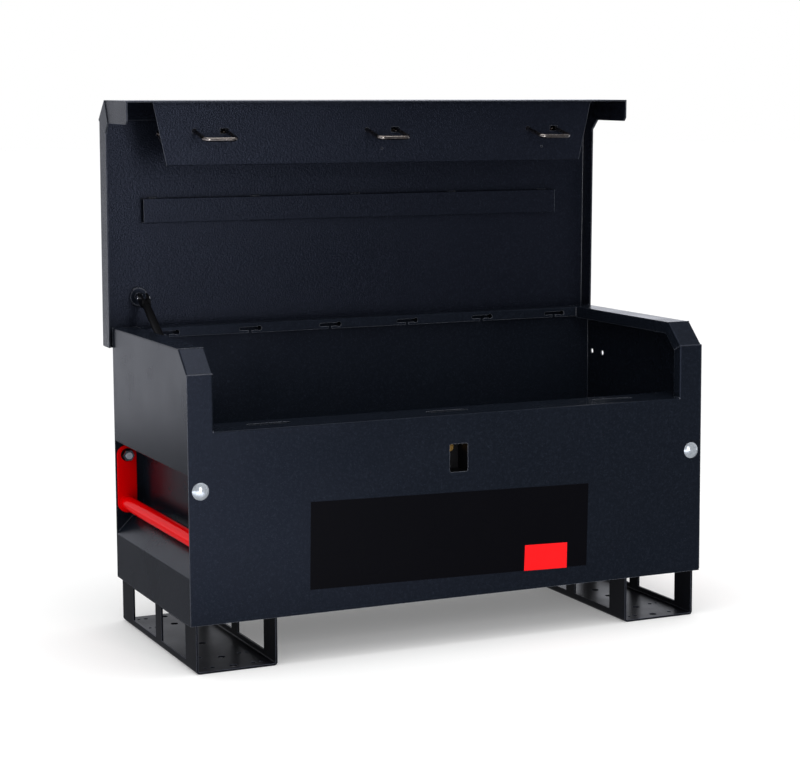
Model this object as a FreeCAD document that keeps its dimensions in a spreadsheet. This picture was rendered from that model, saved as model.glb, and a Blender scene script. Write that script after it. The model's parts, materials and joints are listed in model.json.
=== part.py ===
"""Jobsite storage box with a hinged lid, swing handles, gas strut and three-claw lock.

Frame: X to the right, Y to the back, Z up, millimetres. The origin is under the middle
of the open box, at floor level. The lid stands open at rest.

Every sub-part is a PartDesign body. Box parts are drawn in the cabinet frame, whose
origin is the middle of the front panel's outer face at floor level. Lid parts are drawn
closed, in the hinge frame, whose origin is the middle of the hinge axis.
"""

import FreeCAD, Part
import math
import os
import re
import Sketcher

os.makedirs("parts", exist_ok=True)
doc = FreeCAD.newDocument("storage_box")

# Driving dimensions in millimetres, or degrees where the name ends in _angle.
SIZES = {
    # cabinet
    "body_width": 1275,
    "body_depth": 540,
    "panel_bottom": 108,
    "ledge_height": 526,
    "ledge_depth": 112,
    "strip_top": 650,
    "rim_height": 701,
    "chamfer_depth": 54,
    "rim_width": 58,
    "rim_return": 27,
    "rail_width": 38,
    "rail_return": 24,
    "sheet": 3,
    "bend_radius": 3.5,
    "knee_bend": 6,
    # handle wells in the sides
    "well_depth": 67,
    "well_top": 433,
    "well_shoulder": 280,
    "well_lip": 213,
    "well_bend": 5,
    # T-slots in the rear rail
    "rail_slots": 6,
    "rail_slot_pitch": 206,
    "rail_slot_length": 55,
    "rail_slot_height": 8,
    "rail_slot_level": 687,
    "rail_eye_radius": 6,
    # accessory holes in the right wall
    "side_hole_radius": 6.25,
    "side_hole_height": 583,
    "side_hole_front": 462,
    "side_hole_pitch": 53,
    # skids
    "skid_width": 186,
    "skid_inset": 13.5,
    "skid_front": 7,
    "skid_tail": 5,
    "skid_sheet": 4.5,
    "skid_bend": 8,
    "skid_window_low": 18,
    "skid_window_high": 95,
    "skid_window_start": 73,
    "skid_window_length": 170,
    "skid_bar": 42,
    "skid_drain_far": 243,
    "skid_drain_middle": 165,
    "skid_drain_near": 34,
    "skid_drain_radius": 9,
    "castor_hole_radius": 5.5,
    "castor_pitch_x": 94,
    "castor_pitch_y": 89,
    "castor_offset": 240,
    "pilot_hole_radius": 4,
    "pilot_pitch_x": 128,
    # lid
    "hinge_drop": 32.5,
    "hinge_standoff": 13,
    "open_angle": 89,
    "lid_gap": 5,
    "lid_rise": 38,
    "lid_reach": 561,
    "lid_overhang": 15,
    "lid_chamfer": 46,
    "lid_lip_depth": 214,
    "lip_return": 52.5,
    "lid_skirt": 49,
    "lid_rear_skirt": 44,
    "lid_corner_cut": 8,
    "lid_inner_cut": 22,
    "corner_tab_sheet": 2,
    # hinges
    "hinge_length": 120,
    "hinge_inset": 207.5,
    "knuckle_radius": 8,
    "hinge_pin_radius": 4,
    "hinge_leaf": 5,
    "lid_leaf": 3.7,
    "leaf_drop": 5,
    "leaf_above_pin": 4,
    "pin_proud": 3,
    "leaf_height": 55,
    "leaf_rise": 33,
    # stiffener inside the lid
    "stiffener_inset": 89,
    "stiffener_width": 58,
    "stiffener_depth": 21,
    "stiffener_sheet": 2,
    "stiffener_reach": 273,
    # staple panel, staples and their rod
    "staple_panel_inset": 68.5,
    "staple_panel_taper": 32,
    "staple_panel_reach": 413,
    "staple_panel_drop": 129.5,
    "staple_panel_hem": 12,
    "hem_bend": 2.5,
    "staple_panel_flange": 26,
    "staple_inset": 206,
    "staple_span": 77,
    "staple_radius": 5,
    "staple_length": 75,
    "staple_root": 38,
    "staple_bend": 11,
    "staple_angle": 13,
    "staple_reach": 491,
    "staple_rod_radius": 6,
    "staple_rod_rise": 26,
    "staple_hole_play": 0.8,
    "leg_slot_length": 15,
    "leg_slot_width": 12.5,
    "panel_screw_reach": 447,
    "panel_screw_radius": 2.5,
    "rod_end": 5,
    "rod_overhang": 83,
    "rod_washer_radius": 12,
    "rod_washer_thick": 3,
    "rod_bracket_width": 40,
    "rod_bracket_sheet": 4,
    "rod_bracket_outward": 108.5,
    "rod_bracket_inward": 216.5,
    # slots in the ledge
    "ledge_slot_length": 102,
    "ledge_slot_width": 22,
    "ledge_slot_middle": 61.5,
    # handles
    "handle_pivot_inset": 26.4,
    "handle_pivot_height": 400,
    "handle_drop": 115,
    "arm_width": 46,
    "arm_thick": 6,
    "bar_radius": 16.85,
    "bar_wall": 3,
    "play": 0.3,
    # pivot bolts
    "bolt_radius": 8,
    "cup_head_radius": 19,
    "cup_head_height": 8.8,
    "cup_head_edge": 1,
    "cup_head_crown": 11,
    "cup_head_bend": 25,
    "washer_radius": 15,
    "washer_thick": 3,
    "nut_flats": 24,
    "nut_height": 13,
    "thread_proud": 3.5,
    "running_fit": 0.05,
    # gas strut
    "strut_inset": 78,
    "strut_above_rim": 66.1,
    "strut_lid_drop": 6.3,
    "strut_foot_back": 250,
    "strut_foot_height": 580,
    "strut_base_radius": 20,
    "strut_base_thick": 6,
    "strut_post_radius": 9,
    "strut_tongue": 8,
    "strut_tongue_radius": 11,
    "strut_pin_radius": 4,
    "strut_pin_proud": 3,
    "clevis_ear": 6,
    "clevis_radius": 11,
    "clevis_length": 30,
    "clevis_base": 10,
    "strut_post_end": 12,
    "pin_head_radius": 6,
    "pin_head_thick": 2,
    "piston_gap": 1,
    "tube_radius": 9.5,
    "tube_bore": 8,
    "tube_end": 195,
    "tube_cap": 8,
    "strut_rod_radius": 4,
    "piston_radius": 7.6,
    "piston_length": 10,
    "rod_eye_radius": 11,
    "rod_eye_thick": 10,
    "rod_neck": 16,
    "foot_bracket_height": 44,
    "foot_bracket_length": 56,
    "foot_bracket_flange": 18,
    # keyhole pocket and lock
    "lock_height": 445,
    "pocket_width": 45,
    "pocket_height": 64,
    "pocket_base": 395.5,
    "pocket_corner": 4,
    "pocket_depth": 53,
    "pocket_sheet": 2,
    "barrel_radius": 11,
    "barrel_proud": 3,
    "barrel_case_radius": 13.5,
    "barrel_case_length": 30,
    "plug_radius": 7,
    "keyway_width": 2.4,
    "keyway_height": 9,
    "keyway_depth": 18,
    "cam_thick": 4,
    "cam_gap": 3,
    "plug_proud": 0.5,
    "pin_end": 1,
    "key_angle": 70,
    "link_travel": 12,
    "crank_pin_radius": 2.5,
    "crank_pin_play": 0.35,
    "crank_arm_radius": 5,
    # sliding link and claws
    "claw_angle": 60,
    "claw_rest_angle": 100,
    "claw_back": 90,
    "claw_offset": 20,
    "claw_level": 474,
    "claw_thick": 6,
    "claw_boss_radius": 9,
    "claw_nose_length": 28,
    "claw_nose_width": 10,
    "claw_stud_radius": 5,
    "claw_keeper_radius": 7,
    "claw_keeper_thick": 3,
    "link_front": 95.5,
    "link_back": 107.5,
    "link_thick": 4,
    "link_rise": 0.5,
    "link_end_margin": 40,
    "link_tab_width": 16,
    "guide_pitch": 215,
    "guide_width": 30,
    "guide_sheet": 2.5,
    "tray_level": 385,
    "tray_flange": 18,
}

sheet_object = doc.addObject("Spreadsheet::Sheet", "Sizes")
for row, (alias, number) in enumerate(SIZES.items(), start=1):
    sheet_object.set(f"A{row}", alias)
    sheet_object.set(f"B{row}", str(number))
    sheet_object.setAlias(f"B{row}", alias)
doc.recompute()

ALIAS = re.compile(r"\b(" + "|".join(sorted(SIZES, key=len, reverse=True)) + r")\b")
parts = {}


def bound(text):
    """Turn an expression written with plain size names into one bound to the sheet."""
    return ALIAS.sub(r"Sizes.\1", text)


def measure(text):
    """Value of an expression with the sheet's present numbers."""
    return float(sheet_object.evalExpression(bound(text)))


# Places that several sub-parts share, as expressions of the sizes.
half = "(body_width / 2)"
inner_half = "(body_width / 2 - sheet)"
opening_half = "(body_width / 2 - rim_width)"
hinge_pitch = "(body_width / 2 - hinge_inset)"
staple_pitch = "(body_width / 2 - staple_inset)"
hinge_back = "(body_depth + hinge_standoff)"
hinge_height = "(rim_height - hinge_drop)"
front_shift = "(cup_head_height / 2 - (body_depth + hinge_standoff + lid_rise) / 2)"
lid_inner = "(lid_rise - sheet)"
lid_half = "(body_width / 2 + lid_gap + sheet)"
lid_face = "(lid_reach - sheet)"
panel_level = "(-staple_panel_drop)"
chamfer_lean = "atan(chamfer_depth / (rim_height - strip_top))"


def place(target, base, turn=None):
    """Bind a body's placement: base is (x, y, z), turn is an angle about X."""
    for letter, text in zip("xyz", base):
        target.setExpression(f"Placement.Base.{letter}", bound(text))
    if turn is not None:
        target.Placement.Rotation = FreeCAD.Rotation(FreeCAD.Vector(1, 0, 0), measure(turn))
        target.setExpression("Placement.Rotation.Angle", bound(turn))


def cabinet_body(label):
    """New body drawn in the cabinet frame."""
    made = doc.addObject("PartDesign::Body", label)
    made.Label = label
    made.AllowCompound = True
    place(made, ("0", front_shift, "0"))
    parts[label] = made
    return made


def lid_body(label):
    """New body drawn closed in the hinge frame and turned open about the hinge axis."""
    made = doc.addObject("PartDesign::Body", label)
    made.Label = label
    made.AllowCompound = True
    place(made, ("0", f"{hinge_back} + {front_shift}", hinge_height), "-open_angle")
    parts[label] = made
    return made


PLANES = {"X": "YZ_Plane", "Y": "XZ_Plane", "Z": "XY_Plane"}


class Bend:
    """Where two edges stop and the arc between them runs, for one corner of an outline."""

    def __init__(self, last, corner, following, radius):
        self.corner = corner
        self.radius = measure(radius[0]) if radius else 0
        to_last = (last - corner).normalize()
        to_next = (following - corner).normalize()
        half_angle = to_last.getAngle(to_next) / 2
        cut = self.radius / math.tan(half_angle)
        self.enter = corner + to_last * cut
        self.leave = corner + to_next * cut
        self.turns_left = (corner - last).cross(following - corner).z > 0
        reach = self.radius / math.sin(half_angle)
        self.centre = corner + (to_last + to_next).normalize() * reach

    def arc(self):
        """The arc, counter-clockwise as the sketcher wants it."""
        start, end = (self.enter, self.leave) if self.turns_left else (self.leave, self.enter)
        angles = [math.atan2(spot.y - self.centre.y, spot.x - self.centre.x)
                  for spot in (start, end)]
        if angles[1] < angles[0]:
            angles[1] += 2 * math.pi
        circle = Part.Circle(self.centre, FreeCAD.Vector(0, 0, 1), self.radius)
        return Part.ArcOfCircle(circle, *angles)


class Drawing:
    """Sketch on one of the body's own planes, with every size bound to the sheet."""

    def __init__(self, owner, name, axis, start, origin=("0", "0")):
        self.sketch = owner.newObject("Sketcher::SketchObject", name)
        role = PLANES[axis]
        support = next(item for item in owner.Origin.OriginFeatures if item.Role == role)
        self.sketch.AttachmentSupport = [(support, "")]
        self.sketch.MapMode = "FlatFace"
        depth = f"-({start})" if axis == "Y" else start
        for letter, text in zip("xyz", (*origin, depth)):
            self.sketch.setExpression(f"AttachmentOffset.Base.{letter}", bound(text))

    def pin(self, geometry, point, across, up):
        """Hold one point of a curve at two coordinates given as expressions."""
        for kind, text, axis in (("DistanceX", across, -2), ("DistanceY", up, -1)):
            if text == "0":
                rule = Sketcher.Constraint("PointOnObject", geometry, point, axis)
                self.sketch.addConstraint(rule)
            else:
                value = measure(text)
                rule = Sketcher.Constraint(kind, -1, 1, geometry, point, value)
                index = self.sketch.addConstraint(rule)
                self.sketch.setExpression(f"Constraints[{index}]", bound(text))

    def outline(self, corners):
        """Closed outline through corners (across, up), or (across, up, bend radius)."""
        spots = [FreeCAD.Vector(measure(corner[0]), measure(corner[1]), 0) for corner in corners]
        count = len(spots)
        first = self.sketch.GeometryCount
        bends = [Bend(spots[i - 1], spots[i], spots[(i + 1) % count], corners[i][2:])
                 for i in range(count)]
        for i in range(count):
            edge = Part.LineSegment(bends[i].leave, bends[(i + 1) % count].enter)
            self.sketch.addGeometry(edge)
        for i, corner in enumerate(corners):
            entering = first + (i - 1) % count
            leaving = first + i
            if bends[i].radius:
                self.bend(entering, leaving, bends[i], corner)
            else:
                rule = Sketcher.Constraint("Coincident", entering, 2, leaving, 1)
                self.sketch.addConstraint(rule)
                self.pin(leaving, 1, *corner)
        return self

    def bend(self, entering, leaving, shape, corner):
        """Arc between two edges; the sharp corner stays where its expressions put it."""
        across, up, radius = corner
        arc = self.sketch.addGeometry(shape.arc())
        ends = (1, 2) if shape.turns_left else (2, 1)
        tip = self.sketch.addGeometry(Part.Point(shape.corner), True)
        for rule in (Sketcher.Constraint("Tangent", entering, 2, arc, ends[0]),
                     Sketcher.Constraint("Tangent", arc, ends[1], leaving, 1),
                     Sketcher.Constraint("PointOnObject", tip, 1, entering),
                     Sketcher.Constraint("PointOnObject", tip, 1, leaving)):
            self.sketch.addConstraint(rule)
        index = self.sketch.addConstraint(Sketcher.Constraint("Radius", arc, shape.radius))
        self.sketch.setExpression(f"Constraints[{index}]", bound(radius))
        self.pin(tip, 1, across, up)

    def box(self, low, high):
        """Rectangle between two corners."""
        (a, b), (c, d) = low, high
        return self.outline([(a, b), (c, b), (c, d), (a, d)])

    def circle(self, across, up, radius):
        """Circle at a point given as expressions."""
        middle = FreeCAD.Vector(measure(across), measure(up), 0)
        normal = FreeCAD.Vector(0, 0, 1)
        round_edge = self.sketch.addGeometry(Part.Circle(middle, normal, measure(radius)))
        self.pin(round_edge, 3, across, up)
        rule = Sketcher.Constraint("Radius", round_edge, measure(radius))
        index = self.sketch.addConstraint(rule)
        self.sketch.setExpression(f"Constraints[{index}]", bound(radius))
        return self

    def capsule(self, low, high, radius):
        """Round-ended outline about the line between two end centres."""
        ends = [FreeCAD.Vector(measure(a), measure(b), 0) for a, b in (low, high)]
        size = measure(radius)
        along = (ends[1] - ends[0]).normalize()
        side = FreeCAD.Vector(-along.y, along.x, 0) * size
        lean = math.atan2(side.y, side.x)
        up = FreeCAD.Vector(0, 0, 1)
        add = self.sketch.addGeometry
        right = add(Part.LineSegment(ends[0] - side, ends[1] - side))
        top = add(Part.ArcOfCircle(Part.Circle(ends[1], up, size), lean + math.pi, lean))
        left = add(Part.LineSegment(ends[1] + side, ends[0] + side))
        base = add(Part.ArcOfCircle(Part.Circle(ends[0], up, size), lean, lean + math.pi))
        joints = ((right, 2, top, 1), (top, 2, left, 1), (left, 2, base, 1), (base, 2, right, 1))
        for one, end, other, start in joints:
            self.sketch.addConstraint(Sketcher.Constraint("Tangent", one, end, other, start))
        self.pin(top, 3, *high)
        self.pin(base, 3, *low)
        index = self.sketch.addConstraint(Sketcher.Constraint("Radius", top, size))
        self.sketch.setExpression(f"Constraints[{index}]", bound(radius))
        return self


def finish_feature(feature, owner):
    """Recompute and stop if the feature failed."""
    doc.recompute()
    if "Invalid" in feature.State or "Error" in feature.State:
        raise RuntimeError(f"{owner.Label}: {feature.Label} failed")
    return feature


def pad(owner, name, axis, start, length, draw):
    """Add material from start, along +axis, inside the outline that draw makes."""
    drawing = Drawing(owner, f"{name}_sketch", axis, start)
    draw(drawing)
    feature = owner.newObject("PartDesign::Pad", name)
    feature.Profile = drawing.sketch
    feature.Reversed = axis == "Y"
    feature.setExpression("Length", bound(length))
    return finish_feature(feature, owner)


def pocket(owner, name, axis, start, length, draw):
    """Cut from start, along +axis, and check that something was removed."""
    before = owner.Tip.Shape.Volume
    drawing = Drawing(owner, f"{name}_sketch", axis, start)
    draw(drawing)
    feature = owner.newObject("PartDesign::Pocket", name)
    feature.Profile = drawing.sketch
    feature.Reversed = axis != "Y"
    feature.setExpression("Length", bound(length))
    finish_feature(feature, owner)
    if not feature.Shape.Volume < before:
        raise RuntimeError(f"{owner.Label}: {name} cuts nothing")
    return feature


def turn(owner, name, axis, origin, corners):
    """Turned piece about +axis through origin; corners are (radius, along) pairs."""
    x, y, z = origin
    if axis == "X":
        drawing = Drawing(owner, f"{name}_sketch", "Y", y, (x, z))
        drawing.outline([(along, radius) for radius, along in corners])
        line = "H_Axis"
    elif axis == "Y":
        drawing = Drawing(owner, f"{name}_sketch", "Z", z, (x, y))
        drawing.outline(corners)
        line = "V_Axis"
    else:
        drawing = Drawing(owner, f"{name}_sketch", "Y", y, (x, z))
        drawing.outline(corners)
        line = "V_Axis"
    feature = owner.newObject("PartDesign::Revolution", name)
    feature.Profile = drawing.sketch
    feature.ReferenceAxis = (drawing.sketch, [line])
    feature.Angle = 360
    return finish_feature(feature, owner)


def fold(owner, name, radius, wanted):
    """Round the straight edges whose middle and direction satisfy wanted."""
    base = owner.Tip
    names = []
    for index, edge in enumerate(base.Shape.Edges, start=1):
        if not isinstance(edge.Curve, Part.Line):
            continue
        middle = edge.CenterOfMass
        if wanted(middle, edge.tangentAt(edge.FirstParameter), edge.Length):
            names.append(f"Edge{index}")
    if not names:
        raise RuntimeError(f"{owner.Label}: {name} finds no edge")
    feature = owner.newObject("PartDesign::Fillet", name)
    feature.Base = (base, names)
    feature.setExpression("Radius", bound(radius))
    return finish_feature(feature, owner)


def near(value, text, slack=0.01):
    """True when a coordinate lies at the place that an expression gives."""
    return abs(value - measure(text)) < slack


def along(direction, letter):
    """True when a unit direction runs along the named axis."""
    return abs(getattr(direction, letter)) > 0.999


def inset(side, distance):
    """X of a point at a distance in from the outer face of one side."""
    if side == "left":
        return f"(-{half} + ({distance}))"
    return f"({half} - ({distance}))"


def inset_start(side, near_edge, far_edge):
    """X where a pad along +X starts, for a stretch between two insets of one side."""
    return inset(side, near_edge if side == "left" else far_edge)


SIDES = ("left", "right")
PLACES = {"left": "-1", "centre": "0", "right": "1"}


def lid_point(back, up):
    """Cabinet (Y, Z) of a point of the open lid, given in the hinge frame."""
    y = f"({hinge_back} + ({back}) * cos(open_angle) + ({up}) * sin(open_angle))"
    z = f"({hinge_height} - ({back}) * sin(open_angle) + ({up}) * cos(open_angle))"
    return y, z


# ---------------------------------------------------------------- cabinet sheet metal

wall_back = "(body_depth - sheet)"
rim_mitre = f"(strip_top - rim_return * tan({chamfer_lean} / 2))"
rim_knee = f"(chamfer_depth + rim_return * tan((90 deg - {chamfer_lean}) / 2))"
between_wells = "(body_width / 2 - well_depth - sheet)"


def make_front_panel():
    """Face with two strips, ledge folded back from its top edge, skirt down behind it."""
    panel = cabinet_body("front_panel")
    pad(panel, "folded_sheet", "X", f"-{opening_half}", f"2 * {opening_half}", lambda d: d.outline([
        ("0", "panel_bottom"),
        ("0", "ledge_height", "bend_radius"),
        ("ledge_depth", "ledge_height", "bend_radius"),
        ("ledge_depth", "tray_level"),
        ("ledge_depth - sheet", "tray_level"),
        ("ledge_depth - sheet", "ledge_height - sheet"),
        ("sheet", "ledge_height - sheet"),
        ("sheet", "panel_bottom"),
    ]))
    for side in SIDES:
        start = inset_start(side, "0", "rim_width")
        pad(panel, f"{side}_strip_foot", "X", start, "rim_width", lambda d: d.box(
            ("0", "panel_bottom"), ("sheet", "ledge_height")))
        pad(panel, f"{side}_strip", "Z", "ledge_height - sheet",
            "strip_top - ledge_height + sheet", lambda d: d.outline([
                (inset(side, "0"), "0"),
                (inset(side, "rim_width"), "0", "bend_radius"),
                (inset(side, "rim_width"), "rim_return"),
                (inset(side, "rim_width - sheet"), "rim_return"),
                (inset(side, "rim_width - sheet"), "sheet"),
                (inset(side, "0"), "sheet"),
            ]))
        start = inset_start(side, "0", "rim_width")
        pocket(panel, f"{side}_mitre", "X", start, "rim_width", lambda d: d.outline([
            ("0", "strip_top"),
            ("rim_return", rim_mitre),
            ("rim_return", "strip_top"),
        ]))
        start = inset_start(side, "sheet", "rim_width")
        pad(panel, f"{side}_ledge_end", "X", start, "rim_width - sheet", lambda d: d.box(
            ("sheet", "ledge_height - sheet"), ("ledge_depth", "ledge_height")))
        start = inset_start(side, "rim_width", "well_depth + sheet")
        pocket(panel, f"{side}_skirt_notch", "X", start, "well_depth + sheet - rim_width",
               lambda d: d.box(("ledge_depth - bend_radius", "tray_level"),
                               ("ledge_depth", "ledge_height")))
    pocket(panel, "keyhole", "Y", "0", "sheet", draw_keyhole)
    cut_pivot_holes(panel, "0")
    pocket(panel, "staple_slots", "Z", "ledge_height - sheet", "sheet", draw_ledge_slots)


def draw_keyhole(drawing):
    """Opening of the lock pocket, with rounded corners."""
    side = "pocket_width / 2"
    top = "pocket_base + pocket_height"
    drawing.outline([
        (f"-{side}", "pocket_base", "pocket_corner"),
        (side, "pocket_base", "pocket_corner"),
        (side, top, "pocket_corner"),
        (f"-{side}", top, "pocket_corner"),
    ])


def draw_ledge_slots(drawing):
    """One round-ended slot over each staple."""
    reach = "(ledge_slot_length - ledge_slot_width) / 2"
    for step in PLACES.values():
        middle = f"{step} * {staple_pitch}"
        drawing.capsule((f"{middle} - {reach}", "ledge_slot_middle"),
                        (f"{middle} + {reach}", "ledge_slot_middle"), "ledge_slot_width / 2")


def cut_pivot_holes(panel, start):
    """Holes for the two handle pivot bolts through a front or back sheet."""
    pocket(panel, "pivot_holes", "Y", start, "sheet", lambda d: [
        d.circle(inset(side, "handle_pivot_inset"), "handle_pivot_height", "bolt_radius")
        for side in SIDES])


def make_side_panel(side):
    """Upper wall folded into the well roof, the wide rim, the cheek chamfer and the return."""
    panel = cabinet_body(f"{side}_side_panel")
    start = inset_start(side, "2 * sheet", "well_depth + sheet")
    pad(panel, "well_roof", "X", start, "well_depth - sheet", lambda d: d.box(
        ("sheet", "well_top"), (wall_back, "well_top + sheet")))
    start = inset_start(side, "0", "rim_width")
    pad(panel, "rim", "X", start, "rim_width", lambda d: d.outline([
        ("0", "strip_top"),
        ("chamfer_depth", "rim_height", "knee_bend"),
        (wall_back, "rim_height"),
        (wall_back, "well_top"),
        ("sheet", "well_top"),
        ("sheet", "strip_top"),
    ]))
    fold(panel, "rim_bends", "bend_radius", lambda m, t, n: not along(t, "x")
         and on_rim_line(m) and (near(abs(m.x), half) or near(abs(m.x), opening_half)))
    fold(panel, "roof_bend", "bend_radius", lambda m, t, n: along(t, "y")
         and near(m.z, "well_top") and near(abs(m.x), half))
    start = inset_start(side, "sheet", "rim_width")
    pocket(panel, "below_return", "X", start, "rim_width - sheet", lambda d: d.outline([
        ("0", "well_top + sheet"),
        ("0", "strip_top"),
        ("rim_return", rim_mitre),
        (rim_knee, "rim_height - rim_return"),
        (wall_back, "rim_height - rim_return"),
        (wall_back, "well_top + sheet"),
    ]))
    start = inset_start(side, "sheet", "rim_width - sheet")
    pocket(panel, "below_rim", "X", start, "rim_width - 2 * sheet", lambda d: d.outline([
        ("0", "well_top + sheet"),
        ("0", "strip_top"),
        (f"sheet / cos({chamfer_lean})", "strip_top"),
        (f"chamfer_depth + sheet * tan((90 deg - {chamfer_lean}) / 2)", "rim_height - sheet"),
        (wall_back, "rim_height - sheet"),
        (wall_back, "well_top + sheet"),
    ]))
    if side == "right":
        pocket(panel, "accessory_holes", "X", f"{half} - sheet", "sheet", lambda d: [
            d.circle(f"side_hole_front + {step} * side_hole_pitch", "side_hole_height",
                     "side_hole_radius") for step in (0, 1)])


def on_rim_line(point):
    """True on the outer line of the chamfer and the rim top, seen from the side."""
    if near(point.z, "rim_height"):
        return True
    rise = measure("(rim_height - strip_top) / chamfer_depth")
    return abs(point.z - measure("strip_top") - rise * point.y) < 0.01


def make_well_panel(side):
    """Recessed inner wall, sloped drain face and lower side wall, folded from one sheet."""
    panel = cabinet_body(f"{side}_well_panel")
    slope = "atan(well_depth / (well_shoulder - well_lip))"
    shift = f"sheet * tan({slope} / 2)"
    profile = [
        ("well_depth", "well_top"),
        ("well_depth", "well_shoulder", "well_bend"),
        ("0", "well_lip", "well_bend"),
        ("0", "panel_bottom"),
        ("sheet", "panel_bottom"),
        ("sheet", f"well_lip - {shift}"),
        ("well_depth + sheet", f"well_shoulder - {shift}"),
        ("well_depth + sheet", "well_top"),
    ]
    pad(panel, "folded_sheet", "Y", "sheet", "body_depth - 2 * sheet", lambda d: d.outline(
        [(inset(side, spot[0]), *spot[1:]) for spot in profile]))


def make_back_panel():
    """Back sheet folded forward into the rear rail, with T-slots along the rail's return."""
    panel = cabinet_body("back_panel")
    front = "(body_depth - rail_width)"
    pad(panel, "folded_sheet", "X", f"-{opening_half}", f"2 * {opening_half}", lambda d: d.outline([
        (wall_back, "panel_bottom"),
        ("body_depth", "panel_bottom"),
        ("body_depth", "rim_height", "bend_radius"),
        (front, "rim_height", "bend_radius"),
        (front, "rim_height - rail_return"),
        (f"{front} + sheet", "rim_height - rail_return"),
        (f"{front} + sheet", "rim_height - sheet"),
        (wall_back, "rim_height - sheet"),
    ]))
    for side in SIDES:
        start = inset_start(side, "0", "rim_width")
        pad(panel, f"{side}_end", "X", start, "rim_width", lambda d: d.box(
            (wall_back, "panel_bottom"), ("body_depth", "rim_height")))
    first = "(-(rail_slots - 1) * rail_slot_pitch / 2)"
    arm = "(rail_slot_length - rail_slot_height) / 2"
    slot = pocket(panel, "rail_slot", "Y", front, "sheet", lambda d: d.capsule(
        (f"{first} - {arm}", "rail_slot_level"), (f"{first} + {arm}", "rail_slot_level"),
        "rail_slot_height / 2"))
    stem = pocket(panel, "rail_stem", "Y", front, "sheet", lambda d: d.box(
        (f"{first} - rail_slot_height / 2", "rim_height - rail_return - sheet"),
        (f"{first} + rail_slot_height / 2", "rail_slot_level")))
    eye = pocket(panel, "rail_eye", "Y", front, "sheet", lambda d: d.circle(
        f"{first} + {arm}", "rail_slot_level", "rail_eye_radius"))
    pattern = panel.newObject("PartDesign::LinearPattern", "rail_slot_pattern")
    pattern.Originals = [slot, stem, eye]
    pattern.Direction = (slot.Profile[0], ["H_Axis"])
    pattern.setExpression("Length", bound("(rail_slots - 1) * rail_slot_pitch"))
    pattern.setExpression("Occurrences", bound("rail_slots"))
    panel.Tip = pattern
    finish_feature(pattern, panel)
    cut_pivot_holes(panel, wall_back)


def make_floor_panel():
    """Flat bottom sheet between the four walls."""
    panel = cabinet_body("floor_panel")
    pad(panel, "plate", "Z", "panel_bottom", "sheet", lambda d: d.box(
        (f"-{inner_half}", "sheet"), (inner_half, wall_back)))


def make_lock_tray():
    """Angle that closes the lock space under the ledge."""
    tray = cabinet_body("lock_tray")
    pad(tray, "angle", "X", f"-{between_wells}", f"2 * {between_wells}", lambda d: d.outline([
        ("sheet", "tray_level - tray_flange"),
        ("2 * sheet", "tray_level - tray_flange"),
        ("2 * sheet", "tray_level"),
        ("ledge_depth - sheet", "tray_level"),
        ("ledge_depth - sheet", "tray_level + sheet"),
        ("sheet", "tray_level + sheet"),
    ]))


def make_skid(side):
    """U channel with two windows in each web and a punched base plate."""
    skid = cabinet_body(f"{side}_skid")
    outer = "skid_inset"
    inner = "skid_inset + skid_width"
    length = "(body_depth + skid_tail - skid_front)"
    profile = [
        (outer, "panel_bottom"),
        (outer, "0", "skid_bend"),
        (inner, "0", "skid_bend"),
        (inner, "panel_bottom"),
        (f"{inner} - skid_sheet", "panel_bottom"),
        (f"{inner} - skid_sheet", "skid_sheet", "skid_bend - skid_sheet"),
        (f"{outer} + skid_sheet", "skid_sheet", "skid_bend - skid_sheet"),
        (f"{outer} + skid_sheet", "panel_bottom"),
    ]
    pad(skid, "channel", "Y", "skid_front", length, lambda d: d.outline(
        [(inset(side, spot[0]), *spot[1:]) for spot in profile]))
    first = "skid_front + skid_window_start"
    second = f"{first} + skid_window_length + skid_bar"
    pocket(skid, "windows", "X", inset_start(side, outer, inner), "skid_width", lambda d: [
        d.box((low, "skid_window_low"), (f"{low} + skid_window_length", "skid_window_high"))
        for low in (first, second)])
    middle_x = inset(side, "skid_inset + skid_width / 2")
    middle_y = f"(skid_front + {length} / 2)"
    pocket(skid, "drain_holes", "Z", "0", "skid_sheet", lambda d: [
        d.circle(middle_x, f"{middle_y} + {way} * {row}", "skid_drain_radius")
        for way in (-1, 1) for row in ("skid_drain_far", "skid_drain_middle", "skid_drain_near")])
    castor_rows = ("castor_offset", "(castor_offset - castor_pitch_y)")
    pocket(skid, "castor_holes", "Z", "0", "skid_sheet", lambda d: [
        d.circle(f"{middle_x} + {across} * castor_pitch_x / 2", f"{middle_y} + {way} * {row}",
                 "castor_hole_radius")
        for way in (-1, 1) for row in castor_rows for across in (-1, 1)])
    pocket(skid, "pilot_holes", "Z", "0", "skid_sheet", lambda d: [
        d.circle(f"{middle_x} + {across} * pilot_pitch_x / 2", f"{middle_y} + {way} * {row}",
                 "pilot_hole_radius")
        for way in (-1, 1) for row in castor_rows for across in (-1, 1)])


# ---------------------------------------------------------------------- lid sheet metal

lip_bottom = "(lid_rise - lid_lip_depth)"
lip_knee = "(lid_rise - lid_chamfer)"
top_knee = "(lid_chamfer - lid_reach)"
skirt_edge = "(lid_rise - lid_skirt)"
lip_return_edge = "(lip_return - lid_reach)"
staple_hole_back = "(-staple_reach - sheet / 2 * tan(staple_angle))"
slot_front = f"({staple_hole_back} - leg_slot_width / 2)"
slot_rear = f"({staple_hole_back} + leg_slot_width / 2)"


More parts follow.
